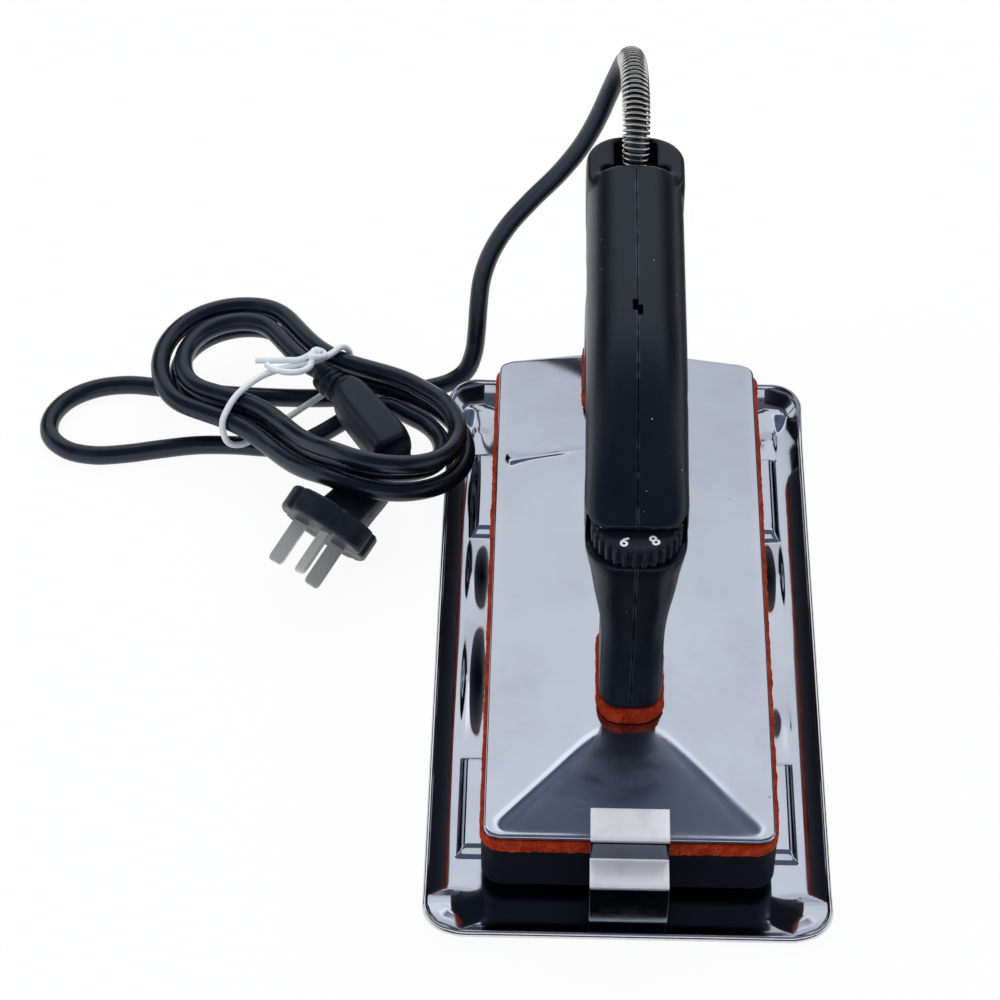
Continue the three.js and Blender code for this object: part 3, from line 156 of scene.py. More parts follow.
def placed(name, mesh, material, body, nodes=()):
    """An object of a mesh, riding on a body in place of CAD nodes, with a material slot's finish."""
    made = bpy.data.objects.new(name, mesh)
    bpy.context.scene.collection.objects.link(made)
    mesh.materials.append(material)
    if body:
        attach(made, body)
    if nodes:
        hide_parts(*nodes)
    return made


def piece(name, points, faces, material, body, nodes=(), slot=None, smooth=True):
    """A mesh from an array of points and an array of faces with one number of sides, riding on a body."""
    mesh = bpy.data.meshes.new(name)
    mesh.vertices.add(len(points))
    mesh.vertices.foreach_set("co", np.asarray(points, np.float32).ravel())
    faces = np.asarray(faces, np.int32)
    mesh.loops.add(faces.size)
    mesh.loops.foreach_set("vertex_index", faces.ravel())
    mesh.polygons.add(len(faces))
    mesh.polygons.foreach_set("loop_start", np.arange(len(faces), dtype=np.int32) * faces.shape[1])
    mesh.update(calc_edges=True)
    mesh.validate()
    mesh.polygons.foreach_set("use_smooth", np.full(len(mesh.polygons), smooth))
    return placed(name, mesh, material, body, nodes)


# The floor is a wide white paper that keeps the iron's shadow, in a room that is white all round. Glowing
# sheets
# that gloss alone shows paint reflections: a dark board and a bright highlight strip overhead, a pale far
# wall with dark boards beside it, and dark cloths.
floor_paper = Finish("floor_paper")
floor_side, floor_glow_share = 6.0, 0.93


def seen_rays(tree):
    """1 for what the camera sees, also in shiny or clear surfaces, and 0 for the light that it gives."""
    rays = Socket(tree, tree.nodes.new("ShaderNodeLightPath").outputs["Is Camera Ray"])
    seen = rays.maths("MAXIMUM", rays, rays.sibling("Is Glossy Ray"))
    return rays.maths("MAXIMUM", seen, rays.sibling("Is Transmission Ray"))


paper = floor_paper.node("ShaderNodeBsdfDiffuse", {}, {"Color": (0.85, 0.85, 0.85, 1)})
glow = floor_paper.node("ShaderNodeEmission", {}, {"Color": (1, 1, 1, 1)})
floor_share = seen_rays(floor_paper.tree) * floor_glow_share
floor_paper.ended(floor_paper.node("ShaderNodeMixShader", {}, {0: floor_share, 1: paper, 2: glow}))
floor_grid = np.array([[-1, -1, 0], [1, -1, 0], [1, 1, 0], [-1, 1, 0]]) * floor_side
floor = piece("floor", floor_grid, [[0, 1, 2, 3]], floor_paper.material, None)

world = bpy.data.worlds.new("room")
bpy.context.scene.world = world
world.use_nodes = True
room_light, room_white = (0.6, 0.62, 0.66), (1, 1, 1)
world.node_tree.links.new(seen_rays(world.node_tree).mix(room_light, room_white).output,
                          world.node_tree.nodes["Background"].inputs["Color"])


def panel(name, place, target, width, height, power):
    """A soft rectangular lamp at a place, facing a target, that shiny surfaces don't show."""
    lamp = bpy.data.lights.new(name, "AREA")
    lamp.shape, lamp.size, lamp.size_y, lamp.energy = "RECTANGLE", width, height, power
    made = bpy.data.objects.new(name, lamp)
    made.location = place
    away = np.array(place, float) - np.array(target, float)
    made.rotation_euler = (math.acos(away[2] / np.linalg.norm(away)), 0, math.atan2(away[0], -away[1]))
    made.visible_glossy = False
    bpy.context.scene.collection.objects.link(made)


panel("panel_back", (0.3, 1.5, 1.6), (0, 0, 0.05), 1.6, 1.2, 20)
panel("panel_left", (-1.4, -0.6, 1.3), (0, 0, 0.05), 0.9, 0.9, 8)


def glowing(name, dark, light, size):
    """A material that shines in a cloud of two colours, for the sheets that paint reflections."""
    look = Finish(name)
    return look.shine(look.noise(size, 3).above(0.35, 0.65).mix(dark, light))


def reflected_sheet(name, half_x, near, far, material, middle=0):
    """A flat sheet that only glossy surfaces show, as a painted reflection, between two level edges given by
    their y and z.
    """
    left, right = middle - half_x, middle + half_x
    corners = np.array([[left, *near], [right, *near], [right, *far], [left, *far]])
    made = piece(name, corners, [[0, 1, 2, 3]], material, None)
    made.visible_camera = made.visible_diffuse = made.visible_shadow = made.visible_transmission = False


# The dark boards and cloths are painted dark reflections; they light nothing and cast no shadow.
board_height, board_rear, strip_rear = 1.6, 0.9, 1.03
painted_reflection_blue = glowing("painted_reflection_blue", (0.07, 0.085, 0.13), (0.17, 0.2, 0.28), 0.16)
painted_highlight_white = glowing("painted_highlight_white", (1.35, 1.36, 1.38), (1.6, 1.6, 1.6), 0.3)
painted_reflection_black = glowing("painted_reflection_black", (0.002, 0.002, 0.003), (0.006, 0.007, 0.01), 0.2)
painted_reflection_grey = glowing("painted_reflection_grey", (0.06, 0.07, 0.09), (0.13, 0.15, 0.19), 0.2)
reflected_sheet("board", 3, (-3, board_height), (board_rear, board_height), painted_reflection_blue)
# The strip glows brighter than white and paints a highlight on the bright steel.
reflected_sheet("strip", 1.2, (board_rear, board_height), (strip_rear, board_height), painted_highlight_white)
reflected_sheet("front_painted_reflection", 0.3, (-0.6, 0.0008), (-0.1395, 0.0008), painted_reflection_black)
reflected_sheet("side_painted_reflection", 0.25, (-0.1, 0.0007), (0.75, 0.0007), painted_reflection_grey, 0.335)
for name, side in [("left", -1), ("right", 1)]:
    reflected_sheet(name + "_low_painted_reflection", 1.25, (2.0, 0.02), (2.0, 1.5), painted_reflection_black, side * 2.05)
    reflected_sheet(name + "_high_painted_reflection", 1.25, (2.0, 1.5), (2.0, 2.7), painted_reflection_black, side * 3.05)

# The far wall is a painted reflection, a little darker low down, so the hood's reflection grows lighter
# towards its nose
reflected_wall_look = Finish("painted_reflection_wall")
wall_reflection_shade = reflected_wall_look.place("Z").above(2.1, 3.5).mix((0.84, 0.85, 0.87), (1.06, 1.06, 1.06))
reflected_sheet("painted_reflection_wall", 4, (3, 0.01), (3, 7), reflected_wall_look.shine(wall_reflection_shade))

# The cord is one length of round black rubber cable, out of the handle's collar, over and down behind the
# tray, round a loop on the floor, and folded into a hank of three loops in two layers.
cord_diameter = 0.0075
cord_mouth = np.array([0, 0.11, 0.138])
cord_out = np.array([0, math.cos(math.radians(69.5)), math.sin(math.radians(69.5))])
tail_route = np.array([
    [0, 111.5, 142], [0, 115, 148.7], [0, 120.3, 154.5], [-0.3, 129.3, 159.7], [-0.8, 139.6, 161.5],
    [-1.5, 149.8, 159.7], [-2.6, 158.8, 154.5], [-4, 164.1, 148.7], [-6, 167.6, 140.5], [-9.3, 169.8, 129],
    [-13.5, 170.3, 116], [-19.5, 169.5, 103], [-28, 168, 90.5], [-38.5, 166, 78.5], [-48, 163, 67],
    [-54.5, 159.5, 56], [-58, 156, 45.5], [-59.3, 152, 35], [-60, 148, 24.5], [-61.3, 144.6, 14.8],
    [-64.5, 141.8, 7.6], [-70.5, 139, 4.3], [-79, 135.6, 3.9], [-92, 132, 3.9], [-110, 129.5, 3.9],
    [-130, 128.5, 3.9], [-150, 129, 3.9], [-170, 130.5, 3.9], [-187, 133, 3.9], [-201, 134.5, 3.9],
    [-214, 132, 3.9], [-224.5, 125, 3.9], [-230, 114.5, 3.9], [-229, 104, 3.9], [-221.5, 96.5, 3.9],
    [-210.5, 93.8, 3.9], [-198, 95, 3.9], [-184, 98, 3.9], [-170, 100.5, 3.9], [-155, 100.8, 3.9],
    [-140, 99.9, 3.9], [-130, 101.4, 4.4], [-121, 105.6, 6.2], [-112.5, 110.6, 8.6], [-104, 113.9, 11.2],
    [-97, 114.9, 13.6],
]) / 1000

hank_middle = np.array([-0.1235, 0.109, 0])
hank_along = np.array([math.cos(math.radians(-35.4)), math.sin(math.radians(-35.4)), 0])
hank_across = np.array([math.sin(math.radians(-35.4)), -math.cos(math.radians(-35.4)), 0])
hank_level = 0.01455
hank_layer = 0.0087
hank_half_run, hank_inner, hank_step = 0.036, 0.0215, 0.0092
hank_start, hank_end = 0.03, -0.0085
hank_radius = hank_inner + hank_step * 0.6
hank_lap = 4 * hank_half_run + 2 * math.pi * hank_radius
hank_run = 3 * hank_lap - (hank_start - hank_end)
upright = np.array([0, 0, 1.0])
# Where along the hank, over what half length and how far it is drawn in at the tie and lifted over the neck
tie_at, tie_half, tie_draw = -0.011, 0.04, 0.008
neck_at, neck_half, neck_lift = 0.045, 0.05, 0.0126


def blend(value, low, high):
    """3 t squared minus 2 t cubed, where t goes from 0 at low to 1 at high."""
    share = np.clip((value - low) / (high - low), 0, 1)
    return share * share * (3 - 2 * share)


def swell(value, middle, half):
    """1 plus cos of pi t, halved, where t is the way from the middle over half the width, and 0 past it."""
    return np.where(abs(value - middle) < half, (1 + np.cos(math.pi * (value - middle) / half)) / 2, 0)


def fold(along, across, height):
    """Places given along and across the hank and above the floor."""
    flat = hank_middle + np.multiply.outer(along, hank_along) + np.multiply.outer(across, hank_across)
    return flat + np.multiply.outer(height, upright)


def hank_line(run):
    """The cord's centre after a run of cord: an oval track whose radius grows and shrinks by one step a lap,
    climbs one layer half way, draws in at the tie and lifts over the plug's neck."""
    laps, all_laps = run / hank_lap, hank_run / hank_lap
    radius = hank_inner + hank_step * np.minimum(laps, all_laps - laps)
    layer = blend(laps, all_laps / 2 - 0.25, all_laps / 2 + 0.25)
    turn = math.pi * hank_radius
    place = (run + hank_half_run + hank_start) % hank_lap
    first = (place - 2 * hank_half_run) / hank_radius - math.pi / 2
    second = (place - 4 * hank_half_run - turn) / hank_radius + math.pi / 2
    stretch = [place < 2 * hank_half_run, place < 2 * hank_half_run + turn, place < 4 * hank_half_run + turn]
    along = np.select(stretch, [place - hank_half_run, hank_half_run + radius * np.cos(first),
                                3 * hank_half_run + turn - place], -hank_half_run + radius * np.cos(second))
    across = np.select(stretch, [-radius, radius * np.sin(first), radius], radius * np.sin(second))
    lift = neck_lift * swell(along, neck_at, neck_half) * blend(across, -0.024, 0.02)
    drawn = across * (1 - tie_draw / radius * swell(along, tie_at, tie_half))
    return fold(along, drawn, hank_level + hank_layer * layer + lift)


def smooth_line(points, step):
    """The centripetal Catmull-Rom curve through points, at even steps of its length."""
    ends = np.vstack([2 * points[0] - points[1], points, 2 * points[-1] - points[-2]])
    gap = np.sqrt(np.linalg.norm(np.diff(ends, axis=0), axis=1))[:, None]
    slope = (np.diff(ends, axis=0) / gap)
    inner = slope[:-1] - (ends[2:] - ends[:-2]) / (gap[:-1] + gap[1:]) + slope[1:]
    leave, reach = inner[:-1] * gap[1:-1], inner[1:] * gap[1:-1]
    t = np.linspace(0, 1, 12, endpoint=False)[None, :, None]
    a, b = ends[1:-2][:, None], ends[2:-1][:, None]
    curve = ((2 * t**3 - 3 * t**2 + 1) * a + (t**3 - 2 * t**2 + t) * leave[:, None]
             + (3 * t**2 - 2 * t**3) * b + (t**3 - t**2) * reach[:, None]).reshape(-1, points.shape[1])
    return even_line(np.vstack([curve, points[-1]]), step)


def even_line(points, step):
    """Points at even steps along a polyline."""
    travelled = np.concatenate([[0], np.cumsum(np.linalg.norm(np.diff(points, axis=0), axis=1))])
    wanted = np.linspace(0, travelled[-1], max(2, int(round(travelled[-1] / step)) + 1))
    return np.stack([np.interp(wanted, travelled, column) for column in points.T], axis=1)


def unit(vectors):
    """Vectors shortened or stretched to a length of 1."""
    return vectors / np.linalg.norm(vectors, axis=-1, keepdims=True)


def full_turn(steps):
    """The angles of even steps round a circle."""
    return np.arange(steps) / steps * 2 * math.pi


def frames_along(points):
    """Two directions across a line at each point, carried along it with as little twist as can be."""
    tangent = unit(np.gradient(points, axis=0))
    side = np.cross(tangent[0], [0.0, 0.3, 1.0])
    sides = []
    for heading in tangent:
        side = side - heading * side.dot(heading)
        side = side / np.linalg.norm(side)
        sides.append(side)
    sides = np.array(sides)
    return sides, np.cross(tangent, sides)


def tube(points, radius, sides=20):
    """A round tube: ring i, point k is the line's point i plus radius times cos and sin of k across it."""
    across, above = frames_along(points)
    angle = full_turn(sides)
    radius = np.broadcast_to(radius, len(points))[:, None, None]
    ring = across[:, None] * np.cos(angle)[:, None] + above[:, None] * np.sin(angle)[:, None]
    return points[:, None] + radius * ring


def skin(rings, closed=False):
    """Points and faces of a tube of rings: a grid that closes round each ring, with a fan at each end."""
    rings = np.array(rings)
    count, sides = rings.shape[:2]
    points = rings.reshape(-1, 3)
    i, k = np.meshgrid(np.arange(count if closed else count - 1), np.arange(sides), indexing="ij")
    after, beside = (i + 1) % count, (k + 1) % sides
    faces = np.stack([i * sides + k, i * sides + beside, after * sides + beside, after * sides + k], -1)
    faces = faces.reshape(-1, 4)
    if closed:
        return points, faces
    points = np.vstack([points, rings[0].mean(0), rings[-1].mean(0)])
    first, last = len(points) - 2, len(points) - 1
    k = np.arange(0, sides, 2)
    low = np.stack([np.full(len(k), first), (k + 2) % sides, (k + 1) % sides, k], -1)
    top = (count - 1) * sides
    high = np.stack([np.full(len(k), last), top + k, top + (k + 1) % sides, top + (k + 2) % sides], -1)
    return points, np.vstack([faces, low, high])


def mottled(name, patch, dark, light, rough, rougher, grain=None, depth=0, between=None, by_grain=False,
            **more):
    """A finish that drifts between two colours in patches, and is rougher by as much as a share of them or of
    its grain. A depth raises the grain, or the patches where there is none."""
    look = Finish(name)
    cloud = look.noise(*patch)
    if between:
        cloud = cloud.above(*between)
    fine = look.noise(*grain) if grain else cloud
    if depth:
        more["Normal"] = look.bump(fine, depth)
    if rougher:
        rough = rough + (fine if by_grain else cloud) * rougher
    return look.shade(Base_Color=cloud.mix(dark, light), Roughness=rough, **more)


cord_rubber = mottled(
    "cord_rubber", (0.012, 3), (0.003, 0.004, 0.008), (0.0065, 0.0085, 0.015), 0.27, 0.14, (0.0006, 2),
    0.00003, (0.42, 0.75), Specular_IOR_Level=0.65, Specular_Tint=(0.62, 0.8, 1, 1))

tail_line = smooth_line(np.vstack([
    cord_mouth - 0.02 * cord_out, cord_mouth, tail_route,
    hank_line(np.array([0.0]))[0] - cord_diameter * hank_along, hank_line(np.array([0.0]))[0],
]), 0.002)
hank_points = hank_line(np.linspace(0, hank_run, 500))
cord_line = even_line(np.vstack([tail_line, hank_points[1:]]), 0.0024)
cord = piece("cord", *skin(tube(cord_line, cord_diameter / 2, 20)), cord_rubber, "iron",
             ["cord_tail", "cord_hank"], "black_rubber")

# The spring guard is a close coil of bright wire pushed over the cord where it leaves the collar.
spring_wire, spring_pitch, spring_turns, spring_radius = 0.00105, 0.0019, 31, 0.0047
spring_from, spring_step = 0.017, 0.0005
spring_steel = mottled("spring_steel", (0.003, 3), (0.5, 0.49, 0.46), (0.74, 0.72, 0.68), 0.12, 0.16,
                       Metallic=1.0)
spring_axis = smooth_line(np.vstack([cord_mouth - 0.02 * cord_out, cord_mouth, tail_route[:14]]), spring_step)
spring_across = unit(np.cross(np.gradient(spring_axis, axis=0), [1.0, 0, 0]))


def spring_line(turns):
    """The wire's centre after a number of turns: round the cord's line and along it by one pitch a turn."""
    place = (spring_from + turns * spring_pitch) / spring_step
    index = np.arange(len(spring_axis))
    middle = np.stack([np.interp(place, index, spring_axis[:, k]) for k in range(3)], 1)
    above = np.stack([np.interp(place, index, spring_across[:, k]) for k in range(3)], 1)
    sideways = np.array([1.0, 0, 0]) * np.cos(2 * math.pi * turns)[:, None]
    return middle + spring_radius * (sideways - above * np.sin(2 * math.pi * turns)[:, None])


spring_coil = spring_line(np.linspace(0, spring_turns, spring_turns * 28))
piece("spring", *skin(tube(spring_coil, spring_wire / 2, 8)), spring_steel, "iron", ["spring_guard"],
      "bright_steel")

# The tie is a white plastic-coated twist: a loose band round the hank's waist, a knot on top of it, and two
# blunt ends that lie along the strands.
tie_radius = 0.0013
# Millimetres along, across and above the hank
tie_band = np.array([
    [-5, -29.6, 16], [-5, -28.8, 24], [-5.5, -25.2, 28.7], [-6, -20, 29], [-6.5, -14.4, 30],
    [-8.4, -9.5, 30.4], [-12.6, -4, 29.8],
    [-17.3, 1.4, 29.2], [-20.3, 8, 28.8], [-21.3, 15, 28.6], [-21.4, 21, 28.2],
    [-21, 27, 25.9], [-20.2, 31.4, 22.9], [-19, 32.7, 17.4], [-17.6, 31.6, 12.4], [-15.4, 27.4, 9.6],
    [-13, 20, 9.2], [-11, 8, 9.2], [-9, -6, 9.2], [-7, -19, 9.2], [-5.6, -26, 10], [-5, -29.4, 12.4],
    [-5, -29.6, 16],
])
tie_knot = np.array([
    [-10, -12.6, 31], [-9.6, -10.2, 32.8], [-8, -9.2, 33.8], [-6.2, -10.6, 33.6], [-5.4, -13.2, 32.4],
    [-6.2, -15.4, 31.4], [-8, -15.8, 31.6], [-9.2, -14, 33.2], [-8.8, -11.6, 34.2], [-7.4, -9.4, 33.2],
    [-6.3, -6.2, 31.8], [-7.6, -2, 31.5], [-12, 1.6, 31.4], [-17, 3.2, 31.4], [-21, 3, 31.5],
])
tie_end = np.array([
    [-6.4, -13.6, 33.8], [-8.4, -12.6, 34.3], [-9.6, -9.8, 33.2], [-12, -6.4, 32], [-16, -3.4, 31.8],
    [-20.6, 0, 31.7], [-26, 3.6, 31.4],
])
tie_plastic = mottled("tie_plastic", (0.004, 3), (0.66, 0.74, 0.78), (0.86, 0.9, 0.93), 0.28, 0.15,
                      (0.0012,), 0.00008)


def gathered(skins):
    """Several skins as one set of points and faces."""
    starts = np.cumsum([0] + [len(points) for points, _ in skins[:-1]])
    return (np.vstack([points for points, _ in skins]),
            np.vstack([faces + start for (_, faces), start in zip(skins, starts)]))


tie_lines = [smooth_line(fold(*(route.T / 1000)), 0.0006) for route in (tie_band, tie_knot, tie_end)]
piece("tie", *gathered([skin(tube(line, tie_radius, 14)) for line in tie_lines]), tie_plastic, "iron",
      ["cord_tie"], "white_tie")

# The plug is one black rubber moulding: a ribbed relief round the cord's end, a flat-topped grip lying in the
# hank, a neck that dips under the front strands, and a round flange with three bright flat pins.
plug_rubber = mottled("plug_rubber", (0.01, 4), (0.003, 0.004, 0.007), (0.007, 0.009, 0.0145), 0.4, 0.14,
                      (0.0005, 3), 0.00005, (0.35, 0.7), Specular_Tint=(0.62, 0.8, 1, 1))
plug_level = hank_level + hank_layer
grip_across = -0.0104
relief_end = np.array([0.0067, grip_across, plug_level])
relief_start = hank_line(np.array([hank_run]))[0] - 0.004 * hank_along
relief_stop = fold(*relief_end) + 0.003 * hank_along
relief_line = smooth_line(np.stack([relief_start, relief_start + 0.005 * hank_along,
                                    relief_stop - 0.01 * hank_along, relief_stop]), 0.0003)
relief_share = np.linspace(0, 1, len(relief_line))
relief_slim, relief_growth, rib_height, rib_count = 0.00385, 0.0011, 0.0013, 7.4
relief_ribs = 0.5 + 0.5 * np.tanh(6 * np.sin(2 * math.pi * (relief_share * rib_count - 0.15)))
relief_radius = (relief_slim + relief_growth * relief_share
                 + rib_height * relief_ribs * blend(relief_share, 0.34, 0.44))
relief = piece("cord_relief", *skin(tube(relief_line, relief_radius, 36)), plug_rubber, "iron",
               ["plug_relief"], "black_rubber")


def outline(half_x, front, rear, corner, arc=10, side=8):
    """Points round a rectangle with quarter-circle corners and the outward direction at each of them. Every
    corner has arc points and every side has side points between corners."""
    middle, half_y = (front + rear) / 2, (rear - front) / 2
    turn = (np.arange(4)[:, None] + np.linspace(0, 1, arc)) * math.pi / 2
    way = np.stack([np.cos(turn), np.sin(turn)], -1)
    centre = np.array([[1, 1], [-1, 1], [-1, -1], [1, -1]]) * [half_x - corner, half_y - corner]
    corners = np.concatenate([centre[:, None] + corner * way, way], -1)
    share = np.linspace(0, 1, side + 2)[1:-1, None]
    sides = corners[:, -1:] * (1 - share) + np.roll(corners[:, :1], -1, 0) * share
    ring = np.concatenate([corners, sides], 1).reshape(-1, 4)
    return ring[:, :2] + [0, middle], ring[:, 2:]


def settle(made):
    """Keeps the shape that a piece's modifiers give and removes the modifiers."""
    graph = bpy.context.evaluated_depsgraph_get()
    mesh = bpy.data.meshes.new_from_object(made.evaluated_get(graph))
    made.modifiers.clear()
    made.data = mesh
    mesh.polygons.foreach_set("use_smooth", np.ones(len(mesh.polygons), bool))


def moulded(made, voxel, rounds):
    """Joins a piece's overlapping skins into one surface, on a grid of voxels, and eases its edges."""
    joined = made.modifiers.new("joined", "REMESH")
    joined.mode, joined.voxel_size = "VOXEL", voxel
    eased = made.modifiers.new("eased", "SMOOTH")
    eased.factor, eased.iterations = 0.5, rounds
    settle(made)


def plug_ring(centre, sideways, half_width, half_height, crown=0.24):
    """An upright ring with round corners, whose top is narrower than its foot by the crown."""
    ring, _ = outline(half_width, -half_height, half_height, min(0.0032, 0.9 * half_width, 0.9 * half_height))
    narrow = 1 - crown * np.clip(ring[:, 1] / half_height, 0, 1)
    return centre + np.multiply.outer(ring[:, 0] * narrow, sideways) + np.multiply.outer(ring[:, 1], upright)


grip_from, grip_length, grip_drift, grip_turn = 0.007, 0.037, 0.0152, 22
grip_half_wide, grip_half_high = 0.0092, 0.007
# Shares of the grip's length, drift and turn, then of its width and height
grip_shares = smooth_line(np.array([
    [0, 0, 0, 0.72, 0.83], [0.14, 0.1, 0.6, 0.88, 0.94], [0.35, 0.32, 1, 0.95, 0.99],
    [0.88, 0.83, 1, 1, 1], [0.97, 0.97, 1, 0.95, 0.96], [1, 1, 1, 0.88, 0.84]]), 0.05)
plug_rings = []
for length_share, drift_share, turn_share, width_share, height_share in grip_shares:
    heading = -math.radians(grip_turn) * turn_share
    sideways = hank_across * math.cos(heading) + np.cross(upright, hank_across) * math.sin(heading)
    centre = fold(grip_from + grip_length * length_share, grip_across + grip_drift * drift_share, plug_level)
    plug_rings.append(
        plug_ring(centre, sideways, grip_half_wide * width_share, grip_half_high * height_share))

neck_place, neck_reach, neck_half_wide, neck_half_high = 0.044, 0.045, 0.011, 0.0073
# Shares of the neck's reach, place and level, then of its width and height
neck_shares = smooth_line(np.array([
    [0, 0.98, 0.96, 0.55, 0.68], [0.22, 0.98, 0.79, 0.64, 0.79], [0.38, 0.99, 0.69, 0.82, 0.77],
    [0.76, 1.02, 0.68, 0.91, 0.82], [1, 1.05, 0.71, 1, 1]]), 0.06)
neck_rings = []
for reach, place, level, width, height in neck_shares:
    centre = fold(neck_place * place, neck_reach * reach, plug_level * level)
    neck_rings.append(plug_ring(centre, hank_along, neck_half_wide * width, neck_half_high * height, 0.1))

flange_tilt = math.radians(25.5)
flange_out = hank_across * math.cos(flange_tilt) - upright * math.sin(flange_tilt)
flange_frame = np.stack([hank_along, np.cross(flange_out, hank_along), flange_out])
flange_place = fold(0.0465, 0.0475, 0.02)


def on_flange(points):
    """Points given across, up and out of the flange's middle, at their place in the world."""
    return flange_place + np.array(points) @ flange_frame


def spun(x, y, angle):
    """Two coordinates turned round their origin by an angle."""
    return x * math.cos(angle) - y * math.sin(angle), x * math.sin(angle) + y * math.cos(angle)


def level_ring(x, y, height):
    """Points at one height, from their x and their y."""
    return np.column_stack([x, y, np.full(len(x), height)])


flange_turn, groove_count, groove_depth = full_turn(216), 6, 0.0013
flange_grooves = np.clip(np.cos(groove_count * flange_turn) * 6 - 5, 0, 1) * groove_depth
flange_profile = [(0.015, -0.005), (0.0184, -0.0049), (0.019, -0.0043), (0.019, 0.004), (0.0184, 0.0049),
                  (0.0165, 0.005)]
flange_rings = []
for radius, out in flange_profile:
    reach = radius - flange_grooves * (radius > 0.016)
    flange_rings.append(level_ring(reach * np.cos(flange_turn), reach * np.sin(flange_turn), out))
plug_skins = [skin(rings) for rings in (plug_rings, neck_rings, on_flange(flange_rings))]
plug = piece("plug", *gathered(plug_skins), plug_rubber, "iron", ["plug_body"], "black_rubber")
moulded(plug, 0.00055, 2)

pin_nickel = mottled("pin_nickel", (0.0006, 3, (1, 1, 0.2)), (0.52, 0.52, 0.5), (0.76, 0.76, 0.73),
                     0.34, 0.2, Metallic=0.7)
pin_half_wide, pin_half_thick = 3.15, 0.8
pin_steps = [(4.6, 1), (6, 1), (14, 1), (21.2, 1), (22.4, 0.93), (23.1, 0.78), (23.3, 0.6)]
for name, across, up, turned in [("earth", -10.3, 0, 0), ("live", 4.5, -6.9, -30), ("neutral", 4.5, 6.9, 30)]:
    rings = []
    for out, share in pin_steps:
        thick = pin_half_thick * share
        ring, _ = outline(pin_half_wide * share, -thick, thick, 0.25 * share, 4, 2)
        x, y = spun(ring[:, 0], ring[:, 1], math.radians(turned))
        rings.append(level_ring(x + across, y + up, out) / 1000)
    piece("pin_" + name, *skin(on_flange(rings)), pin_nickel, "iron",
                      ["plug_pin_" + name], "zinc_steel", smooth=False)

# The tray is a pan pressed from thin bright steel, with two raised rests across it, a low flared wall that
# rises at the back, and a rolled rim.
def polished(look, specks, tarnish=0, worn=0):
    """Bright pressed steel with smudges, specks and a slow wave, darker by a tarnish and rougher by wear."""
    smudge = look.noise(0.05, 4, rough=0.6).above(0.35, 0.8)
    speck = look.specks(*specks)
    return look.shade(
        Base_Color=(smudge * 0.5 + speck * 0.6 + tarnish).mix((0.49, 0.53, 0.62), (0.36, 0.39, 0.46)),
        Metallic=1.0, Roughness=0.06 + smudge * 0.09 + speck * 0.3 + worn,
        Normal=look.bump(look.noise(0.07, 1), 0.0006))


def pressed_sheet(half_x, front, rear, corner, rows, columns, height, rim):
    """A grid squeezed into a level outline with round corners, at height(x, y), then a ring round its edge
    for each step of the rim: a distance outwards and a height at (x, y)."""
    middle, half_y = (front + rear) / 2, (rear - front) / 2
    past = np.maximum(abs(rows - middle) - (half_y - corner), 0)
    width = half_x - corner + np.sqrt(np.maximum(corner**2 - past**2, 0))
    x = np.multiply.outer(width, columns)
    y = np.broadcast_to(rows[:, None], x.shape)
    at = np.arange(x.size).reshape(x.shape)
    faces = [np.stack([at[:-1, :-1], at[:-1, 1:], at[1:, 1:], at[1:, :-1]], -1).reshape(-1, 4)]
    loop = np.concatenate([at[0, :-1], at[:-1, -1], at[-1, :0:-1], at[:0:-1, 0]])
    points = [np.stack([x, y, height(x, y)], -1).reshape(-1, 3)]
    edge = points[0][loop, :2] - [0, middle]
    inner = np.array([half_x - corner, half_y - corner])
    outward = unit(edge - np.clip(edge, -inner, inner))
    for step, (out, level) in enumerate(rim):
        place = edge + outward * out + [0, middle]
        points.append(np.column_stack([place, level(place[:, 0], place[:, 1])]))
        ring = x.size + step * len(loop) + np.arange(len(loop))
        faces.append(np.stack([loop, ring, np.roll(ring, -1), np.roll(loop, -1)], -1))
        loop = ring
    return np.vstack(points), np.vstack(faces)


def closer_to_ends(count, ease):
    """Values from -1 to 1 that lie closer together near both ends."""
    even = np.linspace(-1, 1, count)
    return even * (1 - ease) + ease * np.sin(even * math.pi / 2)


def thicken(made, thickness):
    """Gives a sheet its thickness, inwards from the face that shows."""
    wall = made.modifiers.new("wall", "SOLIDIFY")
    wall.thickness, wall.offset = thickness, -1
    settle(made)


tray_sheet, floor_half_x, floor_half_y = 0.0012, 0.0602, 0.1242
rest_top, rest_slope, rest_long = 0.0047, 0.0034, 0.045
rest_from = np.array([-0.1, 0.055])
corner_from, corner_reach, corner_rise = 0.05, 0.0112, 0.0034
back_rise, back_from, back_full = 0.0055, 0.105, 0.135
buckle_from, buckle_wide = 0.0526, 0.0084
# Side, place along the tray, half length and height of each buckle
tray_buckles = [(-1, -0.018, 0.034, 0.0021), (-1, 0.034, 0.022, 0.0017), (1, 0.036, 0.026, 0.0019),
                (1, -0.036, 0.018, 0.0008), (-1, 0.112, 0.012, 0.0012), (1, 0.11, 0.014, 0.0015)]


def drawn_up(x, y, start, reach):
    """0 up to a place along one axis and 1 past its reach, for the corners that the press drew up."""
    return np.clip((abs(x) - corner_from) / corner_reach, 0, 1) * np.clip((start - y) / reach, 0, 1)


def buckles(x, y):
    """Long low buckles beside the iron: each rises as 6.75 t squared times 1 - t outwards, whose top is 1, so
    slowly at first and then with a fast drop."""
    level = np.zeros(x.shape)
    for side, place, half, height in tray_buckles:
        t = np.clip((side * x - buckle_from) / buckle_wide, 0, 1)
        along = np.clip(abs(y - place) / half, 0, 1)
        level = level + height * 6.75 * t**2 * (1 - t) * (1 - along)**1.3
    return level


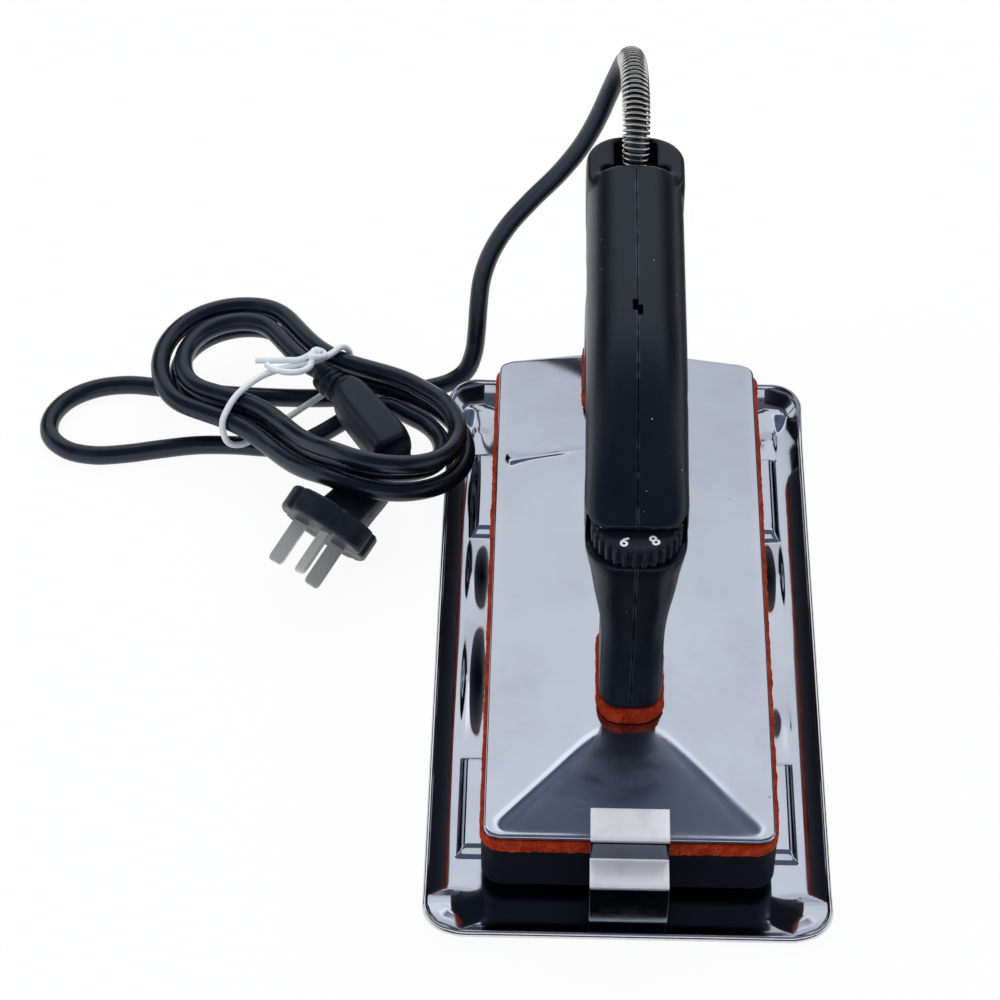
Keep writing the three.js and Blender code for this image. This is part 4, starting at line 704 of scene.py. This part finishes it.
def tray_floor(x, y):
    """Two raised rests with sloping sides, on a floor that the pressing left uneven and drawn up in its
    corners."""
    level = np.full(x.shape, tray_sheet)
    for start in rest_from:
        inside = np.minimum(floor_half_x - abs(x), np.minimum(y - start, start + rest_long - y))
        level = level + (rest_top - tray_sheet) * blend(inside, 0, rest_slope)
    corners = corner_rise * (drawn_up(x, y, -0.1135, 0.006) + 0.7 * drawn_up(x, -y, -0.115, 0.0102))
    uneven = 0.00012 * (1 + np.sin(x / 0.023 + 1) * np.sin(y / 0.031))
    return level + corners + buckles(x, y) + uneven


def rim_level(low, share):
    """A height on the wall: its own at the front, and a share of the back wall's extra rise at the back."""
    return lambda x, y: np.maximum(low + share * back_rise * blend(y, back_from, back_full), tray_floor(x, y))


tray_rows = np.sort(np.concatenate([
    closer_to_ends(150, 0.45) * floor_half_y,
    *[edge + np.linspace(-0.0004, rest_slope + 0.0004, 6) for edge in rest_from],
    *[edge - np.linspace(-0.0004, rest_slope + 0.0004, 6) for edge in rest_from + rest_long]]))
wall_reach, wall_rise, wall_steps = 0.0094, 0.0033, 14
tray_wall = [(wall_reach * share, rim_level(tray_sheet + wall_rise * share**1.8, 0.95 * share**2.2))
             for share in np.linspace(0, 1, wall_steps + 1)[1:]]
tray = piece("tray_pan", *pressed_sheet(
    floor_half_x, -floor_half_y, floor_half_y, 0.0035, tray_rows, closer_to_ends(110, 0.6), tray_floor,
    tray_wall), polished(Finish("pressed_steel"), (0.011, 0.05)), "tray_stand", ["tray"], "bright_steel")
thicken(tray, tray_sheet)

rim_edge, rim_way = outline(0.07, -0.134, 0.134, 0.011, 16, 60)
rim_turn, rim_half_wide, rim_half_high = full_turn(16), 0.001, 0.0016
rim_top = rim_level(0.0034, 1)(rim_edge[:, 0], rim_edge[:, 1])
rim_rings = np.concatenate([
    rim_edge[:, None] + rim_way[:, None] * rim_half_wide * np.cos(rim_turn)[:, None],
    (rim_top[:, None] + rim_half_high * np.sin(rim_turn))[..., None]], -1)
rolled_rim = mottled("rolled_rim", (0.004, 3), (0.58, 0.61, 0.67), (0.74, 0.76, 0.8), 0.1, 0.12,
                     depth=0.0001, Metallic=1.0)
piece("tray_rim", *skin(rim_rings, closed=True), rolled_rim, "tray_stand", slot="bright_steel")

# The nose clip is one strip of the same bright steel, bent into a foot, a riser and two treads that trap the
# iron's nose. Two rivets hold its foot to the tray.
clip_sheet, clip_half, clip_bend = 0.001, 0.0135, 0.0016
clip_line = np.array([
    [-0.1185, 0.002], [-0.1275, 0.002], [-0.1316, 0.008], [-0.1316, 0.0275], [-0.1195, 0.0275],
    [-0.1195, 0.0378], [-0.106, 0.0378]])


def rounded_bends(points, bend, steps=8):
    """A line through points whose inner corners are replaced by arcs that start one bend before them."""
    way = unit(np.diff(points, axis=0))
    t = np.linspace(0, 1, steps)[None, :, None]
    corner, before, after = points[1:-1, None], way[:-1, None], way[1:, None]
    arcs = (1 - t)**2 * (corner - bend * before) + 2 * t * (1 - t) * corner + t**2 * (corner + bend * after)
    return np.vstack([points[:1], arcs.reshape(-1, points.shape[1]), points[-1:]])


clip_path = even_line(rounded_bends(clip_line, clip_bend), 0.0005)
clip_way = unit(np.gradient(clip_path, axis=0))
clip_out = np.stack([clip_way[:, 1], -clip_way[:, 0]], 1)
clip_ring, _ = outline(clip_half, -clip_sheet / 2, clip_sheet / 2, 0.0003, 4, 12)
clip_points = np.empty((len(clip_path), len(clip_ring), 3))
clip_points[..., 0] = clip_ring[:, 0]
clip_points[..., 1:] = clip_path[:, None] + clip_out[:, None] * clip_ring[:, 1, None]
clip_look = Finish("clip_steel")
clip_rub = clip_look.noise(0.0015, 4, (0.3, 1, 1)).above(0.3, 0.8)
clip_scuff = clip_look.noise(0.009, 3).above(0.5, 0.75)
# The treads are light grey and dull: scuffed by the iron's nose, with painted light as on lit tops. The rest
# of the strip gets a dark base, painted shade on the same steel.
clip_height = clip_look.place("Z")
clip_step = clip_height.above(0.0272, 0.0276) * (1 - clip_height.above(0.0284, 0.0288))
clip_lit_worn_treads = clip_step + clip_height.above(0.0374, 0.0379)
clip_lit_tread = clip_scuff.mix((0.88, 0.88, 0.9), (0.76, 0.76, 0.79))
clip_steel = clip_look.shade(
    Base_Color=clip_lit_worn_treads.mix((0.16, 0.18, 0.22), clip_lit_tread), Metallic=1.0 - clip_lit_worn_treads * 0.65,
    Roughness=0.12 + clip_lit_worn_treads * 0.3 + clip_rub * 0.08 + clip_scuff * 0.06,
    Normal=clip_look.bump(clip_look.noise(0.02, 2), 0.0002))
piece("clip_strip", *skin(clip_points), clip_steel, "tray_stand", ["nose_clip"], "bright_steel")

zinc_plate = mottled("zinc_plate", (0.002, 4), (0.4, 0.41, 0.4), (0.56, 0.57, 0.56), 0.28, 0.25,
                     (0.0004, 2), 0.00004, Metallic=1.0)


def turned(profile, place, sides=40):
    """A round piece about an upright line: each row of the profile is a radius and a height."""
    circle = np.stack([np.cos(full_turn(sides)), np.sin(full_turn(sides))], -1)
    flat = np.array(place)[:2] + profile[:, None, :1] * circle
    height = np.broadcast_to(profile[:, None, 1:], flat.shape[:2] + (1,))
    return np.concatenate([flat, height], -1)


rivet_profile = np.array([[0.0015, 0.0003], [0.0015, 0.0029], [0.0028, 0.0029], [0.0028, 0.0032],
                          [0.0024, 0.0037], [0.0016, 0.004], [0.0006, 0.0041]])
for side, name in [(-1, "left"), (1, "right")]:
    piece("rivet_" + name, *skin(turned(rivet_profile, (side * 0.008, -0.123))), zinc_plate, "tray_stand",
          ["clip_rivet_" + name], "zinc_steel")

# The soleplate is a black-coated casting: a flat face with an eased lower edge, an upright side wall, and
# inside it a well for the heating rod.
coated_casting = mottled(
    "coated_casting", (0.012, 4), (0.0022, 0.0027, 0.0052), (0.0055, 0.0066, 0.0115), 0.42, 0.2, (0.0007, 3),
    0.00006, by_grain=True, Specular_IOR_Level=0.35, Specular_Tint=(0.62, 0.8, 1, 1))
sole_half, sole_front, sole_rear, sole_rings = 0.051, -0.115, 0.121, []
for inset, height, corner in [(0.002, 0.005, 0.006), (0.0012, 0.0053, 0.0068), (0.0003, 0.0062, 0.0077),
                              (0, 0.007, 0.008), (0, 0.0245, 0.008), (0.0005, 0.025, 0.0075),
                              (0.0066, 0.025, 0.0044), (0.007, 0.0246, 0.004), (0.007, 0.013, 0.004)]:
    ring, _ = outline(sole_half - inset, sole_front + inset, sole_rear - inset, corner, 12, 24)
    sole_rings.append(level_ring(*ring.T, height))
sole = piece("sole_casting", *skin(sole_rings), coated_casting, "iron", ["soleplate"],
             "coated_casting")
sole.data.set_sharp_from_angle(angle=math.radians(40))

# The gasket is a frame cut from red silicone sponge. Its cut edge is ragged and shows the pores.
sponge_look = Finish("red_sponge")
sponge_pores = sponge_look.noise(0.0009, 4, rough=0.7)
sponge_patch = sponge_look.noise(0.004, 3).above(0.35, 0.7)
# The pores are painted dark red, a painted shade in their hollows.
sponge_pore_shade = 1 - sponge_pores.above(0.34, 0.48)
sponge_red = sponge_patch.mix((0.34, 0.024, 0.005), (0.48, 0.052, 0.012))
red_sponge = sponge_look.shade(
    Base_Color=sponge_pore_shade.mix(sponge_red, (0.12, 0.01, 0.004)), Roughness=0.86, Specular_IOR_Level=0.15,
    Normal=sponge_look.bump(sponge_pores, 0.0006))
ragged = np.random.default_rng(5)


def cut_edge(count, levels, rough):
    """Random steps outwards and inwards round a cut edge, coarse and fine, with no sudden jump at its
    start."""
    step = ragged.normal(size=(count, levels))
    coarse = sum(np.roll(step, shift, 0) for shift in range(-6, 7)) / 13
    fine = sum(np.roll(step, shift, 0) for shift in range(-1, 2)) / 3
    return rough * (coarse + 0.75 * fine)


def sponge_frame(half_x, front, rear, corner, low, high, band, rough, side):
    """A frame of sponge between two heights, whose section is a rectangle with a ragged outer side."""
    ring, way = outline(half_x, front, rear, corner, 24, side)
    levels = low + (high - low) * np.linspace(0, 1, 5)
    outward = cut_edge(len(ring), len(levels), rough)
    outer = ring[:, None] + way[:, None] * outward[..., None]
    outer = np.concatenate([outer, np.broadcast_to(levels[:, None], outward.shape + (1,))], -1)
    inner = [level_ring(*(ring - way * band).T, height)[:, None] for height in (high, low)]
    return skin(np.concatenate([outer, *inner], 1), closed=True)


piece("gasket", *sponge_frame(0.0513, -0.1154, 0.1214, 0.0083, 0.0253, 0.0307, 0.0075, 0.00026, 330),
      red_sponge, "iron", ["hood_gasket"], "red_sponge", smooth=False)

# The hood is pressed from the same bright steel: a flat rim, a low roof hipped at the nose and cut off
# upright at the back, and a short skirt down to the gasket. Its nose is rubbed dull.
hood_eaves, hood_rise, hood_rim = 0.033, 0.006, 0.0474
ridge_half, hip_front, hip_rear = 0.01075, -0.113, -0.0704
hip_soft, foot_soft = 0.0005, 0.00008
crease_from, crease_long, crease_rear, crease_drift = -0.047, 0.034, 0.0655, 0.0025


def hood_roof(x, y):
    """The smallest of three slopes: up from the sides, up from the nose, and the level ridge. Their meetings
    are rounded by a soft minimum, and the foot of the roof by a soft maximum with the rim."""
    side = hood_rise * (hood_rim - abs(x)) / (hood_rim - ridge_half)
    nose = hood_rise * (y - hip_front) / (hip_rear - hip_front)
    least = -hip_soft * np.log(sum(np.exp(-slope / hip_soft) for slope in (side, nose, hood_rise)))
    foot = foot_soft * np.log1p(np.exp(least / foot_soft)) - foot_soft * math.log(2)
    waves = 0.00016 * np.sin(x / 0.017 + y / 0.09) * np.sin(y / 0.037 + 0.6) * blend(least, 0, 0.003)
    return hood_eaves + foot + waves + crease(x, y)


def crease(x, y):
    """A shallow crease across the left slope, widest near the edge, a bell curve across its own line."""
    inwards = (x - crease_from) / crease_long
    width = 0.0011 + 0.0018 * np.exp(-(inwards / 0.2)**2)
    line = crease_rear + crease_drift * np.clip(inwards, 0, 1)
    along = blend(inwards, 0, 0.08) * (1 - blend(inwards, 0.55, 1))
    return 0.27 * width * along * np.exp(-((y - line) / width)**2)


def hood_edge(drop, keep):
    """A height round the rim: this far below the eaves, with a share of the roof kept at the cut-off back."""
    return lambda x, y: hood_eaves - drop + keep * blend(y, 0.1195, 0.1199) * (hood_roof(x, y) - hood_eaves)


hood_rows = np.sort(np.concatenate([
    closer_to_ends(150, 0.5) * 0.11675 + 0.00325, hip_rear + np.linspace(-0.004, 0.004, 9),
    0.0665 + np.linspace(-0.0054, 0.0054, 28)]))
hood_columns = np.sort(np.concatenate([
    closer_to_ends(90, 0.5), *[ridge + np.linspace(-0.05, 0.05, 7) for ridge in (-0.225, 0.225)]]))
hood_look = Finish("hood_steel")
hood_across = hood_look.place("X")
hood_nose = (hood_look.place("Y") - hip_front) / (hip_rear - hip_front)
hood_side = (hood_rim - hood_across.maths("ABSOLUTE", hood_across)) / (hood_rim - ridge_half)
hood_rubbed = (hood_side - hood_nose).above(0.07, 0.16)
hood_wipe = hood_look.noise(0.012, 5, (0.45, 1, 1), 0.6).above(0.44, 0.64) * hood_rubbed
hood_steel = polished(hood_look, (0.013, 0.045), hood_wipe * 0.45, hood_rubbed * 0.11 + hood_wipe * 0.09)
hood = piece("hood_shell", *pressed_sheet(
    0.0484, -0.1135, 0.12, 0.0036, hood_rows, hood_columns, hood_roof,
    [(0.0007, hood_edge(0, 0.98)), (0.0011, hood_edge(0.0001, 0.9)), (0.0014, hood_edge(0.0004, 0.7)),
     (0.0015, hood_edge(0.0008, 0.4)), (0.0015, hood_edge(0.0019, 0))]), hood_steel, "iron",
    ["hood"], "bright_steel")
thicken(hood, 0.001)

# The foot pads are cut from the same red sponge and squeezed between the handle's feet and the hood.
pad_low, pad_high, pad_swell = 0.0393, 0.0447, 0.0003
pad_middle, pad_half = 0.042, 0.0027
for name, half_x, front, rear, corner in [("front", 0.0117, -0.069, -0.0263, 0.0088),
                                          ("rear", 0.0175, 0.0862, 0.1208, 0.0055)]:
    sponge_rings = []
    for height in np.linspace(pad_low, pad_high, 7):
        ring, way = outline(half_x, front, rear, corner, 24, 60)
        bulge = pad_swell * math.cos((height - pad_middle) / pad_half * math.pi / 2)
        rough = cut_edge(len(ring), 1, 0.00024)
        sponge_rings.append(level_ring(*(ring + way * (rough + bulge)).T, height))
    piece(name + "_pad", *skin(sponge_rings), red_sponge, "iron", [name + "_foot_pad"],
          "red_sponge", smooth=False)

# The handle is two black moulded halves screwed together on the centre seam: a waisted neck under the dial, a
# bar grip that slopes down to the nose, a broad rear leg and a collar that holds the cord's spring.
handle_look = Finish("moulded_plastic")
handle_cloud = handle_look.noise(0.02, 3)
handle_grain = handle_look.noise(0.0004, 3)
handle_lint = handle_look.specks(0.0044, 0.07) * handle_look.noise(0.03, 2).above(0.5, 0.58)
handle_across = handle_look.place("X")
# Along the seam the black is lighter in patches: dust in the seam, and a painted highlight along its edges.
handle_seam = 1 - handle_across.maths("ABSOLUTE", handle_across).above(0.00025, 0.0008)
seam_dust_and_highlight = handle_seam * handle_look.noise(0.007, 3).above(0.46, 0.58)
handle_black = handle_cloud.mix((0.0028, 0.0037, 0.0068), (0.005, 0.0064, 0.0108))
dusty_highlit_black = seam_dust_and_highlight.mix(handle_black, (0.03, 0.034, 0.045))
moulded_plastic = handle_look.shade(
    Base_Color=handle_lint.mix(dusty_highlit_black, (0.5, 0.52, 0.55)),
    Specular_IOR_Level=0.35, Specular_Tint=(0.6, 0.8, 1, 1),
    Roughness=0.24 + handle_cloud * 0.08 + handle_grain * 0.08,
    Normal=handle_look.bump(handle_grain, 0.00005))
# The handle's own measures are millimetres across, back from the nose and up
nose_back, grip_start, grip_run, grip_low, grip_high, grip_fall = 115, 56.4, 83.5, 115, 150, 22


def handle_ring(half_x, front, rear, height, corner):
    """A level ring of the handle, in metres."""
    ring, _ = outline(half_x, front - nose_back, rear - nose_back, min(corner, 0.96 * half_x), 14, 10)
    return level_ring(*ring.T, height) / 1000


def grip_ring(distance, half_x):
    """An upright ring of the grip: its top falls towards the nose along a quarter of a sine."""
    slope = math.sin(min(max((distance - grip_start) / grip_run, 0), 1) * math.pi / 2)
    top = grip_high - grip_fall * (1 - slope)
    ring, _ = outline(half_x, grip_low, top, min(13, 0.96 * half_x, 0.48 * (top - grip_low)), 14, 10)
    return level_ring(*ring.T, distance - nose_back)[:, [0, 2, 1]] / 1000


grip_rows = smooth_line(np.array([
    [56.4, 12.4], [57.1, 14.2], [58.6, 15.8], [61.5, 17.0], [66, 17.5], [80, 17.5]]), 1)
grip_rows = np.vstack([
    grip_rows, [[distance, 17.5] for distance in range(84, 216, 4)], [[216, 17.4], [217, 17.0]]])
# Half width, front, rear, height and corner of each ring
neck_rows = smooth_line(np.array([
    [11, 47.2, 87.2, 45, 8], [11, 47.8, 87.8, 60, 8], [11, 48, 88, 77, 8], [12.0, 48.4, 89.6, 87, 8.4],
    [13.65, 48.8, 92.5, 96, 8.8], [15.5, 48.8, 95.4, 106, 11.5], [16.9, 48.9, 97.2, 112, 12.6],
    [17.5, 49.6, 97.8, 115.8, 13], [17.5, 53, 98.4, 121, 13], [17.3, 56.6, 98.6, 126.8, 13]]), 2)
leg_rows = smooth_line(np.array([
    [17, 202, 235.2, 45, 6], [17, 202.6, 235.2, 70, 6], [16.7, 203.2, 234.8, 77, 6],
    [16.4, 202.6, 234.9, 86, 4.5], [16.6, 202, 236, 96, 6],
    [17.2, 199.6, 236.6, 108, 6], [17.5, 197.5, 236.8, 115, 6],
    [17.5, 193, 236.8, 124, 6]]), 2)
collar_rows = smooth_line(np.array([
    [17.5, 205, 236.8, 119.5, 6], [17.9, 205, 239.6, 126, 6.6], [18, 205, 240, 130, 8],
    [18, 205, 240, 142.6, 13], [17.7, 205, 239.7, 144.2, 13.4], [16.8, 205, 238.8, 145, 12.8]]), 1.5)
handle = piece("handle", *gathered([
    skin([grip_ring(*row) for row in grip_rows]),
    *[skin([handle_ring(*row) for row in rows]) for rows in (neck_rows, leg_rows, collar_rows)],
]), moulded_plastic, "iron")
moulded(handle, 0.0008, 1)


def block(half_x, front, rear, low, high, corner, middle=0):
    """A closed block between two heights with round upright corners."""
    return skin([handle_ring(half_x, front, rear, height, corner) + [middle / 1000, 0, 0]
                 for height in (low, high)])


def side_post(distance, height, radius, start, end):
    """A closed post lying across the handle, for the mouth of a screw."""
    profile = np.array([[radius, start], [radius, end]]) / 1000
    points, faces = skin(turned(profile, (0, 0), 24))
    return points[:, [2, 0, 1]] + [0, (distance - nose_back) / 1000, height / 1000], faces


hollows = [
    block(30, 40, 62.4, 115, 126.2, 0.5), block(17, 45.4, 79.4, 115.02, 126.18, 16.3),
    block(12.4, 218.2, 222.6, 131, 152, 2), block(7.9, 219.5, 237.6, 131.02, 152.02, 3.6),
    *[side_post(distance, height, 3.3, 8, 30) for distance, height in [(80, 90), (111, 132), (188, 132)]],
]


def hollow_out(made, shapes):
    """Cuts closed shapes out of a piece."""
    cutters = [piece("hollow", *shape, moulded_plastic, None) for shape in shapes]
    for cutter in cutters:
        cut = made.modifiers.new("cut", "BOOLEAN")
        cut.operation, cut.solver, cut.object = "DIFFERENCE", "EXACT", cutter
    settle(made)
    for cutter in cutters:
        bpy.data.objects.remove(cutter)


hollow_out(handle, hollows)
moulded(handle, 0.0008, 2)
# The two halves' latch slots and the leg's screw mouth are cut last, so their edges stay crisp
hollow_out(handle, [
    block(1.0, 138.6, 144.2, 146.6, 153, 0.2, -0.8), block(1.0, 136.2, 141.4, 146.62, 153.02, 0.2, 0.8),
    side_post(206.7, 85, 3.05, 8, 30)])

seam_gap = 0.0003
for side, name in [(-1, "left"), (1, "right")]:
    shell = bmesh.new()
    shell.from_mesh(handle.data)
    cut = bmesh.ops.bisect_plane(
        shell, geom=[*shell.verts, *shell.edges, *shell.faces], plane_co=(side * seam_gap / 2, 0, 0),
        plane_no=(-side, 0, 0), clear_outer=True)
    rim_edges = [part for part in cut["geom_cut"] if isinstance(part, bmesh.types.BMEdge)]
    bmesh.ops.triangle_fill(shell, edges=rim_edges, use_beauty=True)
    bmesh.ops.recalc_face_normals(shell, faces=shell.faces[:])
    mesh = bpy.data.meshes.new("handle_shell_" + name)
    shell.to_mesh(mesh)
    shell.free()
    mesh.polygons.foreach_set("use_smooth", np.ones(len(mesh.polygons), bool))
    mesh.set_sharp_from_angle(angle=math.radians(50))
    placed("handle_shell_" + name, mesh, moulded_plastic, "iron", ["handle_" + name])
bpy.data.objects.remove(handle)

# The dial is a black moulded thumbwheel with teeth round its edge and white numerals on its face. It turns on
# the steel spindle between the neck and the grip's nose.
dial_place = np.array([0, -0.0526])
dial_low, dial_high, dial_teeth, tooth_depth = 0.1166, 0.1246, 28, 0.0014
dial_turn = full_turn(dial_teeth * 14)
dial_gap = 0.5 + 0.5 * np.tanh(3.2 * np.sin(dial_turn * dial_teeth))
# Radius, height and share of the teeth's depth of each ring
dial_profile = [
    (0.0128, dial_low, 0), (0.0146, dial_low + 0.0002, 0.7), (0.0154, dial_low + 0.001, 1),
    (0.0154, dial_high - 0.0012, 1), (0.015, dial_high - 0.0005, 1), (0.0143, dial_high - 0.0001, 0.6),
    (0.0134, dial_high, 0), (0.013, dial_high, 0)]
dial_rings = []
for radius, height, share in dial_profile:
    reach = radius - tooth_depth * share * dial_gap
    x, y = reach * np.cos(dial_turn), reach * np.sin(dial_turn)
    dial_rings.append(level_ring(x, y + dial_place[1], height))
dial_plastic = mottled(
    "dial_plastic", (0.006, 3), (0.0045, 0.0055, 0.0085), (0.0085, 0.01, 0.015), 0.42, 0.15, (0.0005, 3),
    0.00004, by_grain=True, Specular_IOR_Level=0.42, Specular_Tint=(0.6, 0.8, 1, 1))
dial = piece("dial_wheel", *skin(dial_rings), dial_plastic, "thermostat_dial", ["dial"],
             "black_plastic")
dial.data.set_sharp_from_angle(angle=math.radians(60))

numeral_paint = mottled("numeral_paint", (0.0006, 3), (0.62, 0.65, 0.68), (0.85, 0.87, 0.9), 0.6, 0)
numeral_size, numeral_reach, numeral_swell, numeral_half = 0.006, 0.0106, 0.00013, 0.00006
numeral_middle, numeral_space = -23, 55
numeral_parts = []
for number in range(0, 12, 2):
    letters = bpy.data.curves.new("numeral", "FONT")
    letters.body, letters.size, letters.align_x = str(number), numeral_size, "CENTER"
    letters.extrude, letters.offset = numeral_half, numeral_swell
    written = bpy.data.objects.new("numeral", letters)
    bpy.context.scene.collection.objects.link(written)
    flat = bpy.data.meshes.new_from_object(written.evaluated_get(bpy.context.evaluated_depsgraph_get()))
    bpy.data.objects.remove(written)
    flat.calc_loop_triangles()
    points = np.array([vertex.co for vertex in flat.vertices])
    faces = np.array([triangle.vertices[:] for triangle in flat.loop_triangles])
    x, y = spun(points[:, 0], points[:, 1] - 0.36 * numeral_size - numeral_reach,
                math.radians(numeral_middle + numeral_space * (number - 6) / 2))
    numeral_parts.append((np.column_stack([x + dial_place[0], y + dial_place[1],
                                           points[:, 2] + dial_high + 0.00004]), faces))
piece("dial_numerals", *gathered(numeral_parts), numeral_paint, "thermostat_dial", slot="white_tie",
      smooth=False)

# The parts inside keep their built shapes: each gets the finish of what it is made of, from bare metal and
# ceramic to the wires' coloured jackets.
inner_finishes = {
    "zinc_steel": zinc_plate,
    "brass": mottled("fuse_brass", (0.002, 3), (0.3, 0.19, 0.06), (0.48, 0.33, 0.11), 0.25, 0.25,
                     Metallic=1.0),
    "sheath": mottled("rod_sheath", (0.006, 4), (0.1, 0.1, 0.09), (0.26, 0.24, 0.2), 0.4, 0.25,
                      Metallic=1.0),
    "ceramic": mottled("insulator", (0.001, 3), (0.6, 0.57, 0.5), (0.74, 0.71, 0.64), 0.7, 0,
                       depth=0.00006),
}
for name, low, high in [("live_wire", (0.075, 0.026, 0.01), (0.12, 0.045, 0.018)),
                        ("neutral_wire", (0.016, 0.05, 0.28), (0.03, 0.08, 0.4)),
                        ("earth_wire", (0.07, 0.25, 0.02), (0.14, 0.36, 0.04))]:
    inner_finishes[name] = mottled(name + "_jacket", (0.003, 3), low, high, 0.4, 0.2)
slots = {part["node"]: part["material_slot"] for part in frame["record"]["subparts"]}
for name, node in frame["nodes"].items():
    if slots[name] in inner_finishes:
        for place in node.material_slots:
            place.material = inner_finishes[slots[name]]
